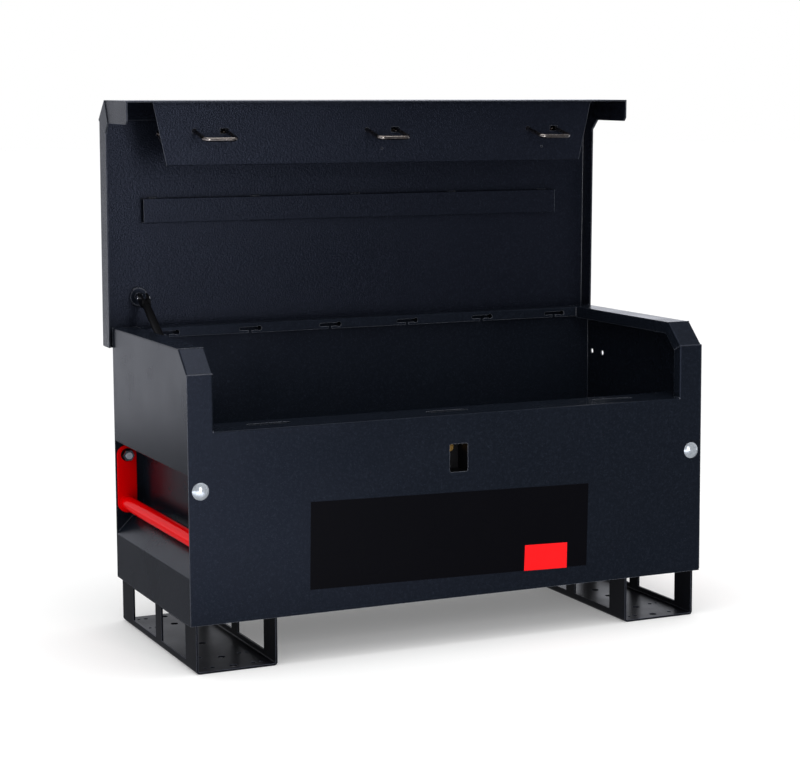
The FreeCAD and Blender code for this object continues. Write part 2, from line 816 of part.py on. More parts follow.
def make_lid_shell():
    """Top plate, chamfer, lip and rear skirt in one fold, with a skirt down each side."""
    shell = lid_body("lid_shell")
    mitre = "sheet * tan(22.5)"
    pad(shell, "cover", "X", f"-{lid_half}", f"2 * {lid_half}", lambda d: d.outline([
        ("lid_overhang", skirt_edge),
        ("lid_overhang", "lid_rise", "bend_radius"),
        (top_knee, "lid_rise", "bend_radius"),
        ("-lid_reach", lip_knee, "bend_radius"),
        ("-lid_reach", lip_bottom),
        (f"{lip_return_edge} - lid_corner_cut", lip_bottom),
        (lip_return_edge, f"{lip_bottom} + lid_corner_cut"),
        (lip_return_edge, f"{skirt_edge} - lid_inner_cut"),
        (f"{lip_return_edge} + lid_inner_cut", skirt_edge),
    ]))
    pocket(shell, "hollow", "X", f"-{lid_half} + sheet", f"2 * ({lid_half} - sheet)",
           lambda d: d.outline([
               (f"-{lid_face}", lip_bottom),
               (f"-{lid_face}", f"{lip_knee} - {mitre}"),
               (f"{top_knee} + {mitre}", lid_inner),
               ("lid_overhang - sheet", lid_inner),
               ("lid_overhang - sheet", skirt_edge),
               (f"{lip_return_edge} + lid_inner_cut", skirt_edge),
               (lip_return_edge, f"{skirt_edge} - lid_inner_cut"),
               (lip_return_edge, lip_bottom),
           ]))
    pocket(shell, "rear_trim", "Y", "lid_overhang - sheet", "sheet", lambda d: d.box(
        (f"-{lid_half} + sheet", skirt_edge),
        (f"{lid_half} - sheet", "lid_rise - lid_rear_skirt")))


def make_corner_tab(side):
    """Plate lapped over the side of the chamfer, where the two skirts meet."""
    tab = lid_body(f"{side}_corner_tab")
    start = f"-{lid_half} - corner_tab_sheet" if side == "left" else lid_half
    pad(tab, "plate", "X", start, "corner_tab_sheet", lambda d: d.outline([
        ("-lid_reach", lip_knee),
        (top_knee, "lid_rise"),
        (f"{lip_return_edge} + lid_inner_cut", skirt_edge),
        (lip_return_edge, f"{skirt_edge} - lid_inner_cut"),
    ]))


def make_stiffener():
    """Channel across the inside of the top plate."""
    channel = lid_body("lid_stiffener")
    near_edge = "(-stiffener_reach)"
    far_edge = "(-stiffener_reach - stiffener_width)"
    base = f"({lid_inner} - stiffener_depth)"
    end = "(body_width / 2 - stiffener_inset)"
    pad(channel, "channel", "X", f"-{end}", f"2 * {end}", lambda d: d.outline([
        (near_edge, lid_inner),
        (near_edge, base, "stiffener_sheet"),
        (far_edge, base, "stiffener_sheet"),
        (far_edge, lid_inner),
        (f"{far_edge} + stiffener_sheet", lid_inner),
        (f"{far_edge} + stiffener_sheet", f"{base} + stiffener_sheet"),
        (f"{near_edge} - stiffener_sheet", f"{base} + stiffener_sheet"),
        (f"{near_edge} - stiffener_sheet", lid_inner),
    ]))


def make_staple_panel():
    """Tapered plate behind the lip that the staples come through."""
    panel = lid_body("staple_panel")
    wide = "(body_width / 2 - staple_panel_inset)"
    narrow = f"({wide} - staple_panel_taper)"
    edge = "(-staple_panel_reach)"
    pad(panel, "plate", "Z", panel_level, "sheet", lambda d: d.outline([
        (f"-{wide}", f"-{lid_face}"),
        (wide, f"-{lid_face}"),
        (narrow, edge),
        (f"-{narrow}", edge),
    ]))
    pad(panel, "lip_flange", "Y", f"-{lid_face}", "sheet", lambda d: d.box(
        (f"-{narrow}", panel_level), (narrow, f"{panel_level} + staple_panel_flange")))
    pad(panel, "hem", "Y", f"{edge} - sheet", "sheet", lambda d: d.box(
        (f"-{narrow}", panel_level), (narrow, f"{panel_level} + staple_panel_hem")))
    pocket(panel, "tight_leg_holes", "Z", panel_level, "sheet", lambda d: [
        d.circle(f"{step} * {staple_pitch} - staple_span / 2", staple_hole_back,
                 "staple_radius + staple_hole_play") for step in PLACES.values()])
    pocket(panel, "long_leg_holes", "Z", panel_level, "sheet", lambda d: [
        d.box((f"{step} * {staple_pitch} + staple_span / 2 - leg_slot_length", slot_front),
              (f"{step} * {staple_pitch} + staple_span / 2 + leg_slot_width / 2", slot_rear))
        for step in PLACES.values()])
    pocket(panel, "screw_holes", "Z", panel_level, "sheet", lambda d: [
        d.circle(f"{PLACES[name]} * {staple_pitch}", "-panel_screw_reach", "panel_screw_radius")
        for name in ("centre", "right")])
    fold(panel, "hem_bend", "hem_bend", lambda m, t, n: along(t, "x")
         and near(m.y, edge) and near(m.z, panel_level))


def make_staple(name):
    """U of round bar that leans back as it leaves the panel."""
    staple = doc.addObject("PartDesign::Body", f"{name}_staple")
    staple.Label = f"{name}_staple"
    y, z = lid_point("-staple_reach", panel_level)
    place(staple, (f"{PLACES[name]} * {staple_pitch}", f"{y} + {front_shift}", z),
          "staple_angle - open_angle")
    parts[staple.Label] = staple
    spine = Drawing(staple, "spine", "Y", "0")
    draw_staple_spine(spine.sketch, spine)
    section = Drawing(staple, "section", "Z", "staple_root")
    section.circle("-staple_span / 2", "0", "staple_radius")
    doc.recompute()
    pipe = staple.newObject("PartDesign::AdditivePipe", "bar")
    pipe.Profile = section.sketch
    pipe.Spine = (spine.sketch, [f"Edge{i}" for i in range(1, 6)])
    finish_feature(pipe, staple)


def draw_staple_spine(sketch, drawing):
    """Open U: down one leg, across the bar and up the other leg, with round bends."""
    across = measure("staple_span / 2")
    top = measure("staple_root")
    low = -measure("staple_length")
    bend = measure("staple_bend")
    up = FreeCAD.Vector(0, 0, 1)
    point = FreeCAD.Vector
    first = sketch.addGeometry(Part.LineSegment(point(-across, top, 0),
                                                point(-across, low + bend, 0)))
    near_arc = sketch.addGeometry(Part.ArcOfCircle(
        Part.Circle(point(-across + bend, low + bend, 0), up, bend), math.pi, 1.5 * math.pi))
    bar = sketch.addGeometry(Part.LineSegment(point(-across + bend, low, 0),
                                              point(across - bend, low, 0)))
    far_arc = sketch.addGeometry(Part.ArcOfCircle(
        Part.Circle(point(across - bend, low + bend, 0), up, bend), 1.5 * math.pi, 2 * math.pi))
    last = sketch.addGeometry(Part.LineSegment(point(across, low + bend, 0),
                                               point(across, top, 0)))
    for one, end, other, start in ((first, 2, near_arc, 1), (near_arc, 2, bar, 1),
                                   (bar, 2, far_arc, 1), (far_arc, 2, last, 1)):
        sketch.addConstraint(Sketcher.Constraint("Tangent", one, end, other, start))
    sketch.addConstraint(Sketcher.Constraint("Vertical", first))
    sketch.addConstraint(Sketcher.Constraint("Vertical", last))
    sketch.addConstraint(Sketcher.Constraint("Equal", near_arc, far_arc))
    drawing.pin(first, 1, "-staple_span / 2", "staple_root")
    drawing.pin(last, 2, "staple_span / 2", "staple_root")
    index = sketch.addConstraint(Sketcher.Constraint("Radius", near_arc, bend))
    sketch.setExpression(f"Constraints[{index}]", bound("staple_bend"))
    index = sketch.addConstraint(Sketcher.Constraint("DistanceY", -1, 1, bar, 1, low))
    sketch.setExpression(f"Constraints[{index}]", bound("-staple_length"))


rod_back = ("(-staple_reach - staple_rod_rise * tan(staple_angle)"
            " + (staple_radius + staple_rod_radius) / cos(staple_angle))")
rod_up = f"({panel_level} + staple_rod_rise)"
rod_half = f"({staple_pitch} + staple_span / 2 + rod_overhang)"


def make_staple_rod():
    """Long rod that the staple legs are welded to, with a washer near each end."""
    rod = lid_body("staple_rod")
    pad(rod, "rod", "X", f"-{rod_half}", f"2 * {rod_half}", lambda d: d.circle(
        rod_back, rod_up, "staple_rod_radius"))
    washers = lid_body("rod_washers")
    for side, start in (("left", f"-{rod_half} + rod_end"),
                        ("right", f"{rod_half} - rod_end - rod_washer_thick")):
        pad(washers, f"{side}_washer", "X", start, "rod_washer_thick", lambda d: (
            d.circle(rod_back, rod_up, "rod_washer_radius"),
            d.circle(rod_back, rod_up, "staple_rod_radius")))


def make_rod_brackets():
    """Upright plates on the staple panel that carry the rod."""
    brackets = lid_body("rod_brackets")
    foot = f"{panel_level} + sheet"
    far = f"({staple_pitch} + rod_bracket_outward)"
    near_middle = f"({staple_pitch} - rod_bracket_inward)"
    for index, (way, place_x) in enumerate(
            ((-1, far), (-1, near_middle), (1, near_middle), (1, far))):
        pad(brackets, f"plate_{index}", "X", f"{way} * {place_x} - rod_bracket_sheet / 2",
            "rod_bracket_sheet", lambda d: (
                d.box((f"{rod_back} - rod_bracket_width / 2", foot),
                      (f"{rod_back} + rod_bracket_width / 2", f"{foot} + rod_bracket_width")),
                d.circle(rod_back, rod_up, "staple_rod_radius")))


# ------------------------------------------------------------------------------ hinges

leaf_top = f"({hinge_height} + leaf_above_pin)"


def make_body_leaf(name):
    """Leaf on the back panel with the two outer knuckles of one hinge."""
    leaf = cabinet_body(f"{name}_hinge_body_leaf")
    left = f"{PLACES[name]} * {hinge_pitch} - hinge_length / 2"
    knuckle = "(hinge_length / 3 - play)"
    axis = (hinge_back, hinge_height)
    pad(leaf, "leaf", "X", left, "hinge_length", lambda d: d.box(
        ("body_depth", f"{hinge_height} - leaf_height"), ("body_depth + hinge_leaf", leaf_top)))
    for which, start in (("near", left), ("far", f"{left} + hinge_length - {knuckle}")):
        pad(leaf, f"{which}_saddle", "X", start, knuckle, lambda d: d.box(
            ("body_depth + hinge_leaf", f"{hinge_height} - knuckle_radius"),
            (hinge_back, hinge_height)))
        pad(leaf, f"{which}_knuckle", "X", start, knuckle, lambda d: d.circle(
            *axis, "knuckle_radius"))
    pocket(leaf, "bore", "X", left, "hinge_length", lambda d: d.circle(
        *axis, "hinge_pin_radius"))


def make_lid_leaf(name):
    """Leaf on the lid's rear skirt with the middle knuckle of one hinge."""
    leaf = lid_body(f"{name}_hinge_lid_leaf")
    left = f"{PLACES[name]} * {hinge_pitch} - hinge_length / 2"
    start = f"{left} + hinge_length / 3"
    knuckle = "hinge_length / 3"
    face = "(lid_overhang - sheet)"
    pad(leaf, "leaf", "X", left, "hinge_length", lambda d: d.box(
        (f"{face} - lid_leaf", "-leaf_drop"), (face, "leaf_rise")))
    pad(leaf, "saddle", "X", start, knuckle, lambda d: d.box(
        ("0", "0"), (f"{face} - lid_leaf", "knuckle_radius")))
    pad(leaf, "knuckle", "X", start, knuckle, lambda d: d.circle("0", "0", "knuckle_radius"))
    pocket(leaf, "bore", "X", start, knuckle, lambda d: d.circle(
        "0", "0", "hinge_pin_radius + running_fit"))


def make_hinge_pins():
    """One pin through each hinge."""
    pins = cabinet_body("hinge_pins")
    for name, step in PLACES.items():
        start = f"{step} * {hinge_pitch} - hinge_length / 2 - pin_proud"
        pad(pins, f"{name}_pin", "X", start, "hinge_length + 2 * pin_proud", lambda d: d.circle(
            hinge_back, hinge_height, "hinge_pin_radius"))


# ----------------------------------------------------------------------------- handles


def make_handle(side):
    """Two flat arms on the pivot bolts with a tube welded between them."""
    pivot_x = inset(side, "handle_pivot_inset")
    foot = "(handle_pivot_height - handle_drop)"
    for end, start in (("front", "sheet + play"),
                       ("rear", f"{wall_back} - play - arm_thick")):
        arm = cabinet_body(f"{side}_handle_{end}_arm")
        pad(arm, "plate", "Y", start, "arm_thick", lambda d: d.capsule(
            (pivot_x, foot), (pivot_x, "handle_pivot_height"), "arm_width / 2"))
        pocket(arm, "pivot_bore", "Y", start, "arm_thick", lambda d: d.circle(
            pivot_x, "handle_pivot_height", "bolt_radius + running_fit"))
    bar = cabinet_body(f"{side}_handle_bar")
    first = "(sheet + play + arm_thick)"
    pad(bar, "tube", "Y", first, f"body_depth - 2 * {first}", lambda d: (
        d.circle(pivot_x, foot, "bar_radius"),
        d.circle(pivot_x, foot, "bar_radius - bar_wall")))


def make_pivot_hardware():
    """Cup-head bolts, washers and nuts of the four handle pivots."""
    bolts = cabinet_body("pivot_bolts")
    washers = cabinet_body("pivot_washers")
    nuts = cabinet_body("pivot_nuts")
    seat = "(sheet + play + arm_thick + play)"
    washer_end = f"({seat} + washer_thick)"
    nut_end = f"({washer_end} + nut_height)"
    for side in SIDES:
        x = inset(side, "handle_pivot_inset")
        for end in ("front", "rear"):
            name = f"{side}_{end}"

            def depth(text):
                return f"({text})" if end == "front" else f"(body_depth - ({text}))"

            turn(bolts, f"{name}_bolt", "Y", (x, "0", "handle_pivot_height"), [
                ("0", depth("-cup_head_height")),
                ("cup_head_crown", depth("-cup_head_height"), "cup_head_bend"),
                ("cup_head_radius", depth("-cup_head_edge")),
                ("cup_head_radius", depth("0")),
                ("bolt_radius", depth("0")),
                ("bolt_radius", depth(f"{nut_end} + thread_proud")),
                ("0", depth(f"{nut_end} + thread_proud")),
            ])
            start = seat if end == "front" else f"body_depth - {washer_end}"
            pad(washers, f"{name}_washer", "Y", start, "washer_thick", lambda d: (
                d.circle(x, "handle_pivot_height", "washer_radius"),
                d.circle(x, "handle_pivot_height", "bolt_radius")))
            start = washer_end if end == "front" else f"body_depth - {nut_end}"
            pad(nuts, f"{name}_nut", "Y", start, "nut_height", lambda d: (
                draw_hexagon(d, x, "handle_pivot_height"),
                d.circle(x, "handle_pivot_height", "bolt_radius")))


def draw_hexagon(drawing, x, z):
    """Hexagon with two flats level, given by its width over flats."""
    corner = "nut_flats / sqrt(3)"
    level = "nut_flats / 2"
    drawing.outline([
        (f"{x} + {corner}", z),
        (f"{x} + {corner} / 2", f"{z} + {level}"),
        (f"{x} - {corner} / 2", f"{z} + {level}"),
        (f"{x} - {corner}", z),
        (f"{x} - {corner} / 2", f"{z} - {level}"),
        (f"{x} + {corner} / 2", f"{z} - {level}"),
    ])


# --------------------------------------------------------------------------- gas strut

strut_x = inset("left", "strut_inset")
strut_forward = "(hinge_drop + strut_above_rim)"
strut_top = lid_point(f"-{strut_forward}", "-strut_lid_drop")
strut_run = f"({strut_top[0]} - strut_foot_back)"
strut_fall = f"({strut_top[1]} - strut_foot_height)"
strut_span = f"sqrt({strut_run} * {strut_run} + {strut_fall} * {strut_fall})"
foot_plate = "(strut_inset - tube_radius - play)"
clevis_inner = "(strut_tongue / 2 + play)"
clevis_outer = "(strut_tongue / 2 + play + clevis_ear)"


def strut_body(label):
    """New body in the strut frame: origin on the upper pin, +Z down the strut."""
    made = doc.addObject("PartDesign::Body", label)
    made.Label = label
    place(made, (strut_x, f"{strut_top[0]} + {front_shift}", strut_top[1]),
          f"90 deg + atan({strut_fall} / {strut_run})")
    parts[label] = made
    return made


def make_strut_lid_bracket():
    """Round base under the top plate, post and tongue for the strut's upper pin."""
    bracket = lid_body("strut_lid_bracket")
    back = f"(-{strut_forward})"
    pad(bracket, "base", "Z", f"{lid_inner} - strut_base_thick", "strut_base_thick",
        lambda d: d.circle(strut_x, back, "strut_base_radius"))
    pad(bracket, "post", "Z", "strut_post_end", f"{lid_inner} - strut_post_end",
        lambda d: d.circle(strut_x, back, "strut_post_radius"))
    pad(bracket, "tongue", "X", f"{strut_x} - strut_tongue / 2", "strut_tongue",
        lambda d: d.capsule((back, "-strut_lid_drop"), (back, "strut_post_end"),
                            "strut_tongue_radius"))
    pocket(bracket, "pin_bore", "X", f"{strut_x} - strut_tongue / 2", "strut_tongue",
           lambda d: d.circle(back, "-strut_lid_drop", "strut_pin_radius + running_fit"))


def make_strut_cylinder():
    """Clevis, its pin and the tube that hang from the lid bracket."""
    clevis = strut_body("strut_clevis")
    for side, start in (("left", f"-{clevis_outer}"), ("right", clevis_inner)):
        pad(clevis, f"{side}_ear", "X", start, "clevis_ear", lambda d: d.capsule(
            ("0", "0"), ("0", "clevis_length - clevis_radius"), "clevis_radius"))
    pad(clevis, "base", "Z", "clevis_length - clevis_base", "clevis_base", lambda d: d.circle(
        "0", "0", "clevis_radius"))
    pocket(clevis, "pin_hole", "X", f"-{clevis_outer}", f"2 * {clevis_outer}", lambda d:
           d.circle("0", "0", "strut_pin_radius"))
    pin = strut_body("strut_pin")
    head = f"({clevis_outer} + strut_pin_proud)"
    turn(pin, "pin", "X", ("0", "0", "0"), [
        ("0", f"-{head} - pin_head_thick"),
        ("pin_head_radius", f"-{head} - pin_head_thick"),
        ("pin_head_radius", f"-{head}"),
        ("strut_pin_radius", f"-{head}"),
        ("strut_pin_radius", head),
        ("pin_head_radius", head),
        ("pin_head_radius", f"{head} + pin_head_thick"),
        ("0", f"{head} + pin_head_thick"),
    ])
    tube = strut_body("strut_tube")
    turn(tube, "tube", "Z", ("0", "0", "0"), [
        ("0", "clevis_length"),
        ("tube_radius", "clevis_length"),
        ("tube_radius", "tube_end"),
        ("strut_rod_radius + running_fit", "tube_end"),
        ("strut_rod_radius + running_fit", "tube_end - tube_cap"),
        ("tube_bore", "tube_end - tube_cap"),
        ("tube_bore", "clevis_length + sheet"),
        ("0", "clevis_length + sheet"),
    ])


def make_strut_rod():
    """Piston rod with its eye and the pin that meets the wall bracket."""
    rod = strut_body("strut_rod")
    piston_end = "(tube_end - tube_cap - piston_gap)"
    turn(rod, "rod", "Z", ("0", "0", "0"), [
        ("0", f"{piston_end} - piston_length"),
        ("piston_radius", f"{piston_end} - piston_length"),
        ("piston_radius", piston_end),
        ("strut_rod_radius", piston_end),
        ("strut_rod_radius", f"{strut_span} - rod_neck"),
        ("0", f"{strut_span} - rod_neck"),
    ])
    eye = strut_body("strut_eye")
    pad(eye, "ring", "X", "-rod_eye_thick / 2", "rod_eye_thick", lambda d: d.circle(
        "0", strut_span, "rod_eye_radius"))
    pad(eye, "neck", "X", "-rod_eye_thick / 2", "rod_eye_thick", lambda d: d.box(
        ("-rod_eye_thick / 2", f"{strut_span} - rod_neck"), ("rod_eye_thick / 2", strut_span)))
    pocket(eye, "pin_hole", "X", "-rod_eye_thick / 2", "rod_eye_thick", lambda d: d.circle(
        "0", strut_span, "strut_pin_radius"))
    pin = strut_body("strut_foot_pin")
    turn(pin, "pin", "X", ("0", "0", strut_span), [
        ("0", "-tube_radius"),
        ("strut_pin_radius", "-tube_radius"),
        ("strut_pin_radius", "rod_eye_thick / 2"),
        ("pin_head_radius", "rod_eye_thick / 2"),
        ("pin_head_radius", "rod_eye_thick / 2 + pin_head_thick"),
        ("0", "rod_eye_thick / 2 + pin_head_thick"),
    ])


def make_strut_wall_bracket():
    """Hat-section bracket that stands the strut's foot off the left wall."""
    bracket = cabinet_body("strut_wall_bracket")
    low = "(strut_foot_height - foot_bracket_height / 2)"
    high = "(strut_foot_height + foot_bracket_height / 2)"
    profile = [
        ("sheet", f"{low} - foot_bracket_flange"),
        ("2 * sheet", f"{low} - foot_bracket_flange"),
        ("2 * sheet", low),
        (foot_plate, low),
        (foot_plate, high),
        ("2 * sheet", high),
        ("2 * sheet", f"{high} + foot_bracket_flange"),
        ("sheet", f"{high} + foot_bracket_flange"),
        ("sheet", f"{high} - sheet"),
        (f"{foot_plate} - sheet", f"{high} - sheet"),
        (f"{foot_plate} - sheet", f"{low} + sheet"),
        ("sheet", f"{low} + sheet"),
    ]
    pad(bracket, "hat", "Y", "strut_foot_back - foot_bracket_length / 2",
        "foot_bracket_length", lambda d: d.outline(
            [(inset("left", distance), height) for distance, height in profile]))


# -------------------------------------------------------------------------------- lock

key_crank_drop = "(link_travel / 2 / tan(key_angle / 2))"
key_crank = "(link_travel / 2 / sin(key_angle / 2))"
claw_crank = "(link_travel / 2 / sin(claw_angle / 2))"
claw_crank_back = "(link_travel / 2 / tan(claw_angle / 2))"
link_rest = "(-link_travel / 2)"
link_level = "(claw_level + claw_thick + link_rise)"
plug_face = "(pocket_depth - barrel_proud - plug_proud)"
barrel_end = "(pocket_depth + pocket_sheet + barrel_case_length)"
pin_slot = "(crank_pin_radius + crank_pin_play)"
ledge_under = "(ledge_height - sheet)"


def claw_x(name):
    """X of a claw's stud."""
    return f"({PLACES[name]} * {staple_pitch} - claw_offset)"


def make_lock_pocket():
    """Box behind the keyhole opening, with a hole for the barrel in its back."""
    liner = cabinet_body("lock_pocket")
    low, high = "pocket_base", "pocket_base + pocket_height"
    pad(liner, "block", "Y", "sheet", "pocket_depth - sheet + pocket_sheet", lambda d: d.box(
        ("-pocket_width / 2 - pocket_sheet", f"{low} - pocket_sheet"),
        ("pocket_width / 2 + pocket_sheet", f"{high} + pocket_sheet")))
    pocket(liner, "hollow", "Y", "sheet", "pocket_depth - sheet", lambda d: d.box(
        ("-pocket_width / 2", low), ("pocket_width / 2", high)))
    pocket(liner, "barrel_hole", "Y", "pocket_depth", "pocket_sheet", lambda d: d.circle(
        "0", "lock_height", "barrel_radius"))


def make_lock_barrel():
    """Fixed barrel of the lock, clamped in the back of the pocket."""
    barrel = cabinet_body("lock_barrel")
    turn(barrel, "barrel", "Y", ("0", "0", "lock_height"), [
        ("plug_radius + running_fit", "pocket_depth - barrel_proud"),
        ("barrel_radius", "pocket_depth - barrel_proud"),
        ("barrel_radius", "pocket_depth + pocket_sheet"),
        ("barrel_case_radius", "pocket_depth + pocket_sheet"),
        ("barrel_case_radius", barrel_end),
        ("plug_radius + running_fit", barrel_end),
    ])


def make_key_plug():
    """Plug that the key turns, with its keyway."""
    plug = cabinet_body("key_plug")
    pad(plug, "plug", "Y", plug_face, f"{barrel_end} + cam_gap - {plug_face}", lambda d:
        d.circle("0", "lock_height", "plug_radius"))
    pocket(plug, "keyway", "Y", plug_face, "keyway_depth", lambda d: d.box(
        ("-keyway_width / 2", "lock_height - keyway_height / 2"),
        ("keyway_width / 2", "lock_height + keyway_height / 2")))


def make_key_cam():
    """Crank on the back of the plug, with the pin that drives the link."""
    cam = cabinet_body("key_cam")
    start = f"({barrel_end} + cam_gap)"
    pin_at = (link_rest, f"lock_height + {key_crank_drop}")
    pad(cam, "boss", "Y", start, "cam_thick", lambda d: d.circle(
        "0", "lock_height", "plug_radius"))
    pad(cam, "arm", "Y", start, "cam_thick", lambda d: d.capsule(
        ("0", "lock_height"), pin_at, "crank_arm_radius"))
    pad(cam, "pin", "Y", f"{start} + cam_thick", f"link_back + pin_end - {start} - cam_thick",
        lambda d: d.circle(*pin_at, "crank_pin_radius"))


def make_lock_link():
    """Flat bar that slides sideways, with a slot over each claw's pin and a tab for the cam."""
    link = cabinet_body("lock_link")
    left = f"{claw_x('left')} + {link_rest} - link_end_margin"
    right = f"{claw_x('right')} + {link_rest} + link_end_margin"
    low = f"(lock_height + {key_crank_drop} - link_tab_width / 2)"
    pad(link, "bar", "Z", link_level, "link_thick", lambda d: d.box(
        (left, "link_front"), (right, "link_back")))
    pad(link, "tab", "Y", "link_back - link_thick", "link_thick", lambda d: d.box(
        (f"{link_rest} - link_tab_width / 2", low),
        (f"{link_rest} + link_tab_width / 2", link_level)))
    pocket(link, "claw_slots", "Z", link_level, "link_thick", lambda d: [
        d.capsule((f"{claw_x(name)} + {link_rest}", f"claw_back + {claw_crank_back}"),
                  (f"{claw_x(name)} + {link_rest}", f"claw_back + {claw_crank}"), pin_slot)
        for name in PLACES])
    pocket(link, "cam_slot", "Y", "link_back - link_thick", "link_thick", lambda d: d.capsule(
        (link_rest, f"lock_height + {key_crank_drop}"),
        (link_rest, f"lock_height + {key_crank}"), pin_slot))


def make_claw(name):
    """Bell crank: a nose that swings into the staple and a pin that the link pushes."""
    claw = cabinet_body(f"{name}_claw")
    x = claw_x(name)
    tip_x = f"{x} + (claw_nose_length - claw_nose_width / 2) * sin(claw_rest_angle)"
    tip_y = f"claw_back - (claw_nose_length - claw_nose_width / 2) * cos(claw_rest_angle)"
    pin_at = (f"{x} + {link_rest}", f"claw_back + {claw_crank_back}")
    pad(claw, "boss", "Z", "claw_level", "claw_thick", lambda d: d.circle(
        x, "claw_back", "claw_boss_radius"))
    pad(claw, "nose", "Z", "claw_level", "claw_thick", lambda d: d.capsule(
        (x, "claw_back"), (tip_x, tip_y), "claw_nose_width / 2"))
    pad(claw, "arm", "Z", "claw_level", "claw_thick", lambda d: d.capsule(
        (x, "claw_back"), pin_at, "crank_arm_radius"))
    pad(claw, "pin", "Z", "claw_level + claw_thick", "link_rise + link_thick + pin_end",
        lambda d: d.circle(*pin_at, "crank_pin_radius"))
    pocket(claw, "stud_bore", "Z", "claw_level", "claw_thick", lambda d: d.circle(
        x, "claw_back", "claw_stud_radius + running_fit"))


def make_claw_studs():
    """Shouldered studs under the ledge that the claws turn on, with their keepers."""
    studs = cabinet_body("claw_studs")
    keeper_top = "(claw_level - play)"
    shoulder = f"({link_level} + link_thick + pin_end)"
    for name in PLACES:
        turn(studs, f"{name}_stud", "Z", (claw_x(name), "claw_back", "0"), [
            ("0", f"{keeper_top} - claw_keeper_thick"),
            ("claw_keeper_radius", f"{keeper_top} - claw_keeper_thick"),
            ("claw_keeper_radius", keeper_top),
            ("claw_stud_radius", keeper_top),
            ("claw_stud_radius", shoulder),
            ("claw_keeper_radius", shoulder),
            ("claw_keeper_radius", ledge_under),
            ("0", ledge_under),
        ])


def make_link_guides():
    """Hooked straps under the ledge that the link slides through."""
    guides = cabinet_body("link_guides")
    web = "(link_front - play)"
    lip = f"({link_level} - play)"
    for side, way in (("left", -1), ("right", 1)):
        pad(guides, f"{side}_guide", "X", f"{way} * guide_pitch - guide_width / 2",
            "guide_width", lambda d: d.outline([
                (web, ledge_under),
                (web, lip),
                ("link_back", lip),
                ("link_back", f"{lip} - guide_sheet"),
                (f"{web} - guide_sheet", f"{lip} - guide_sheet"),
                (f"{web} - guide_sheet", ledge_under),
            ]))


# ------------------------------------------------------------------------------- build

make_front_panel()
make_back_panel()
for side in SIDES:
    make_side_panel(side)
    make_well_panel(side)
    make_skid(side)
make_floor_panel()
make_lock_tray()

make_lid_shell()
for side in SIDES:
    make_corner_tab(side)
make_stiffener()
make_staple_panel()
for name in PLACES:
    make_staple(name)
make_staple_rod()
make_rod_brackets()

for name in PLACES:
    make_body_leaf(name)
    make_lid_leaf(name)
make_hinge_pins()

for side in SIDES:
    make_handle(side)
make_pivot_hardware()

make_strut_lid_bracket()
make_strut_cylinder()
make_strut_rod()
make_strut_wall_bracket()

make_lock_pocket()
make_lock_barrel()
make_key_plug()
make_key_cam()
make_lock_link()
for name in PLACES:
    make_claw(name)
make_claw_studs()
make_link_guides()

doc.recompute()
for item in doc.Objects:
    if "Invalid" in item.State or "Error" in item.State:
        raise RuntimeError(f"{item.Label} did not build")
for label, part in parts.items():
    if part.Shape.isNull() or not part.Shape.isValid():
        raise RuntimeError(f"{label} has no valid shape")
for label, part in parts.items():
    part.Shape.exportStep(f"parts/{label}.step")
    print(f"{label}: {len(part.Shape.Solids)} solid(s), {part.Shape.Volume / 1000:.1f} cm3")
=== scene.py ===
"""Looks of the jobsite storage box: coats, metals, welds, label and a plain studio."""

import json
import math
import random

import bmesh
import bpy
from mathutils import Matrix, Vector


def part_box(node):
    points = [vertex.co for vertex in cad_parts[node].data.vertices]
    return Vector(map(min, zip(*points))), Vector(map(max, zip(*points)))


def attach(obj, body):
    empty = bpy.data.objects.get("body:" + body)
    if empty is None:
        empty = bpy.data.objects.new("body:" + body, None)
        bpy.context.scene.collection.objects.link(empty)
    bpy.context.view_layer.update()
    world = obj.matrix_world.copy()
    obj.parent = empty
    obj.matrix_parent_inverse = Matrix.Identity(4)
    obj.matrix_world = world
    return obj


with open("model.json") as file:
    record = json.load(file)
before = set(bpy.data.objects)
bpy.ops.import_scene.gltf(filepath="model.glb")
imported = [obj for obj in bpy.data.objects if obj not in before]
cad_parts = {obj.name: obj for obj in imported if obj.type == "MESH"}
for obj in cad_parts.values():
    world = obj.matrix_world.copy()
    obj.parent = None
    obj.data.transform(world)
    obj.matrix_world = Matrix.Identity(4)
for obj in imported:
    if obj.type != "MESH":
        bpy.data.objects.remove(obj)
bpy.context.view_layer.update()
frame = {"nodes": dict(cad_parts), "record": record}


# ---------------------------------------------------------------------- shader nodes

WHITE = (1, 1, 1, 1)


def srgb(r, g, b):
    """Linear RGBA of an 8-bit screen colour."""

    def channel(v):
        v /= 255
        return v / 12.92 if v <= 0.04045 else ((v + 0.055) / 1.055) ** 2.4

    return (channel(r), channel(g), channel(b), 1)


def feed(tree, socket, value):
    """Link an input to another node's output, or set it to a number or a colour."""
    if isinstance(value, bpy.types.NodeSocket):
        tree.links.new(value, socket)
    else:
        socket.default_value = value


def add_node(tree, kind, inputs=None, **settings):
    """New node with its settings; inputs are given by name or number."""
    made = tree.nodes.new(kind)
    for name, value in settings.items():
        setattr(made, name, value)
    for name, value in (inputs or {}).items():
        feed(tree, made.inputs[name], value)
    return made


def spread(tree, source, start, end, low, high, kind="LINEAR"):
    """Map a factor from start..end to low..high."""
    inputs = {"Value": source, "From Min": start, "From Max": end, "To Min": low, "To Max": high}
    return add_node(tree, "ShaderNodeMapRange", inputs, interpolation_type=kind).outputs["Result"]


def math_node(tree, operation, one, two):
    """Result of an operation on two factors."""
    return add_node(tree, "ShaderNodeMath", {0: one, 1: two}, operation=operation).outputs[0]


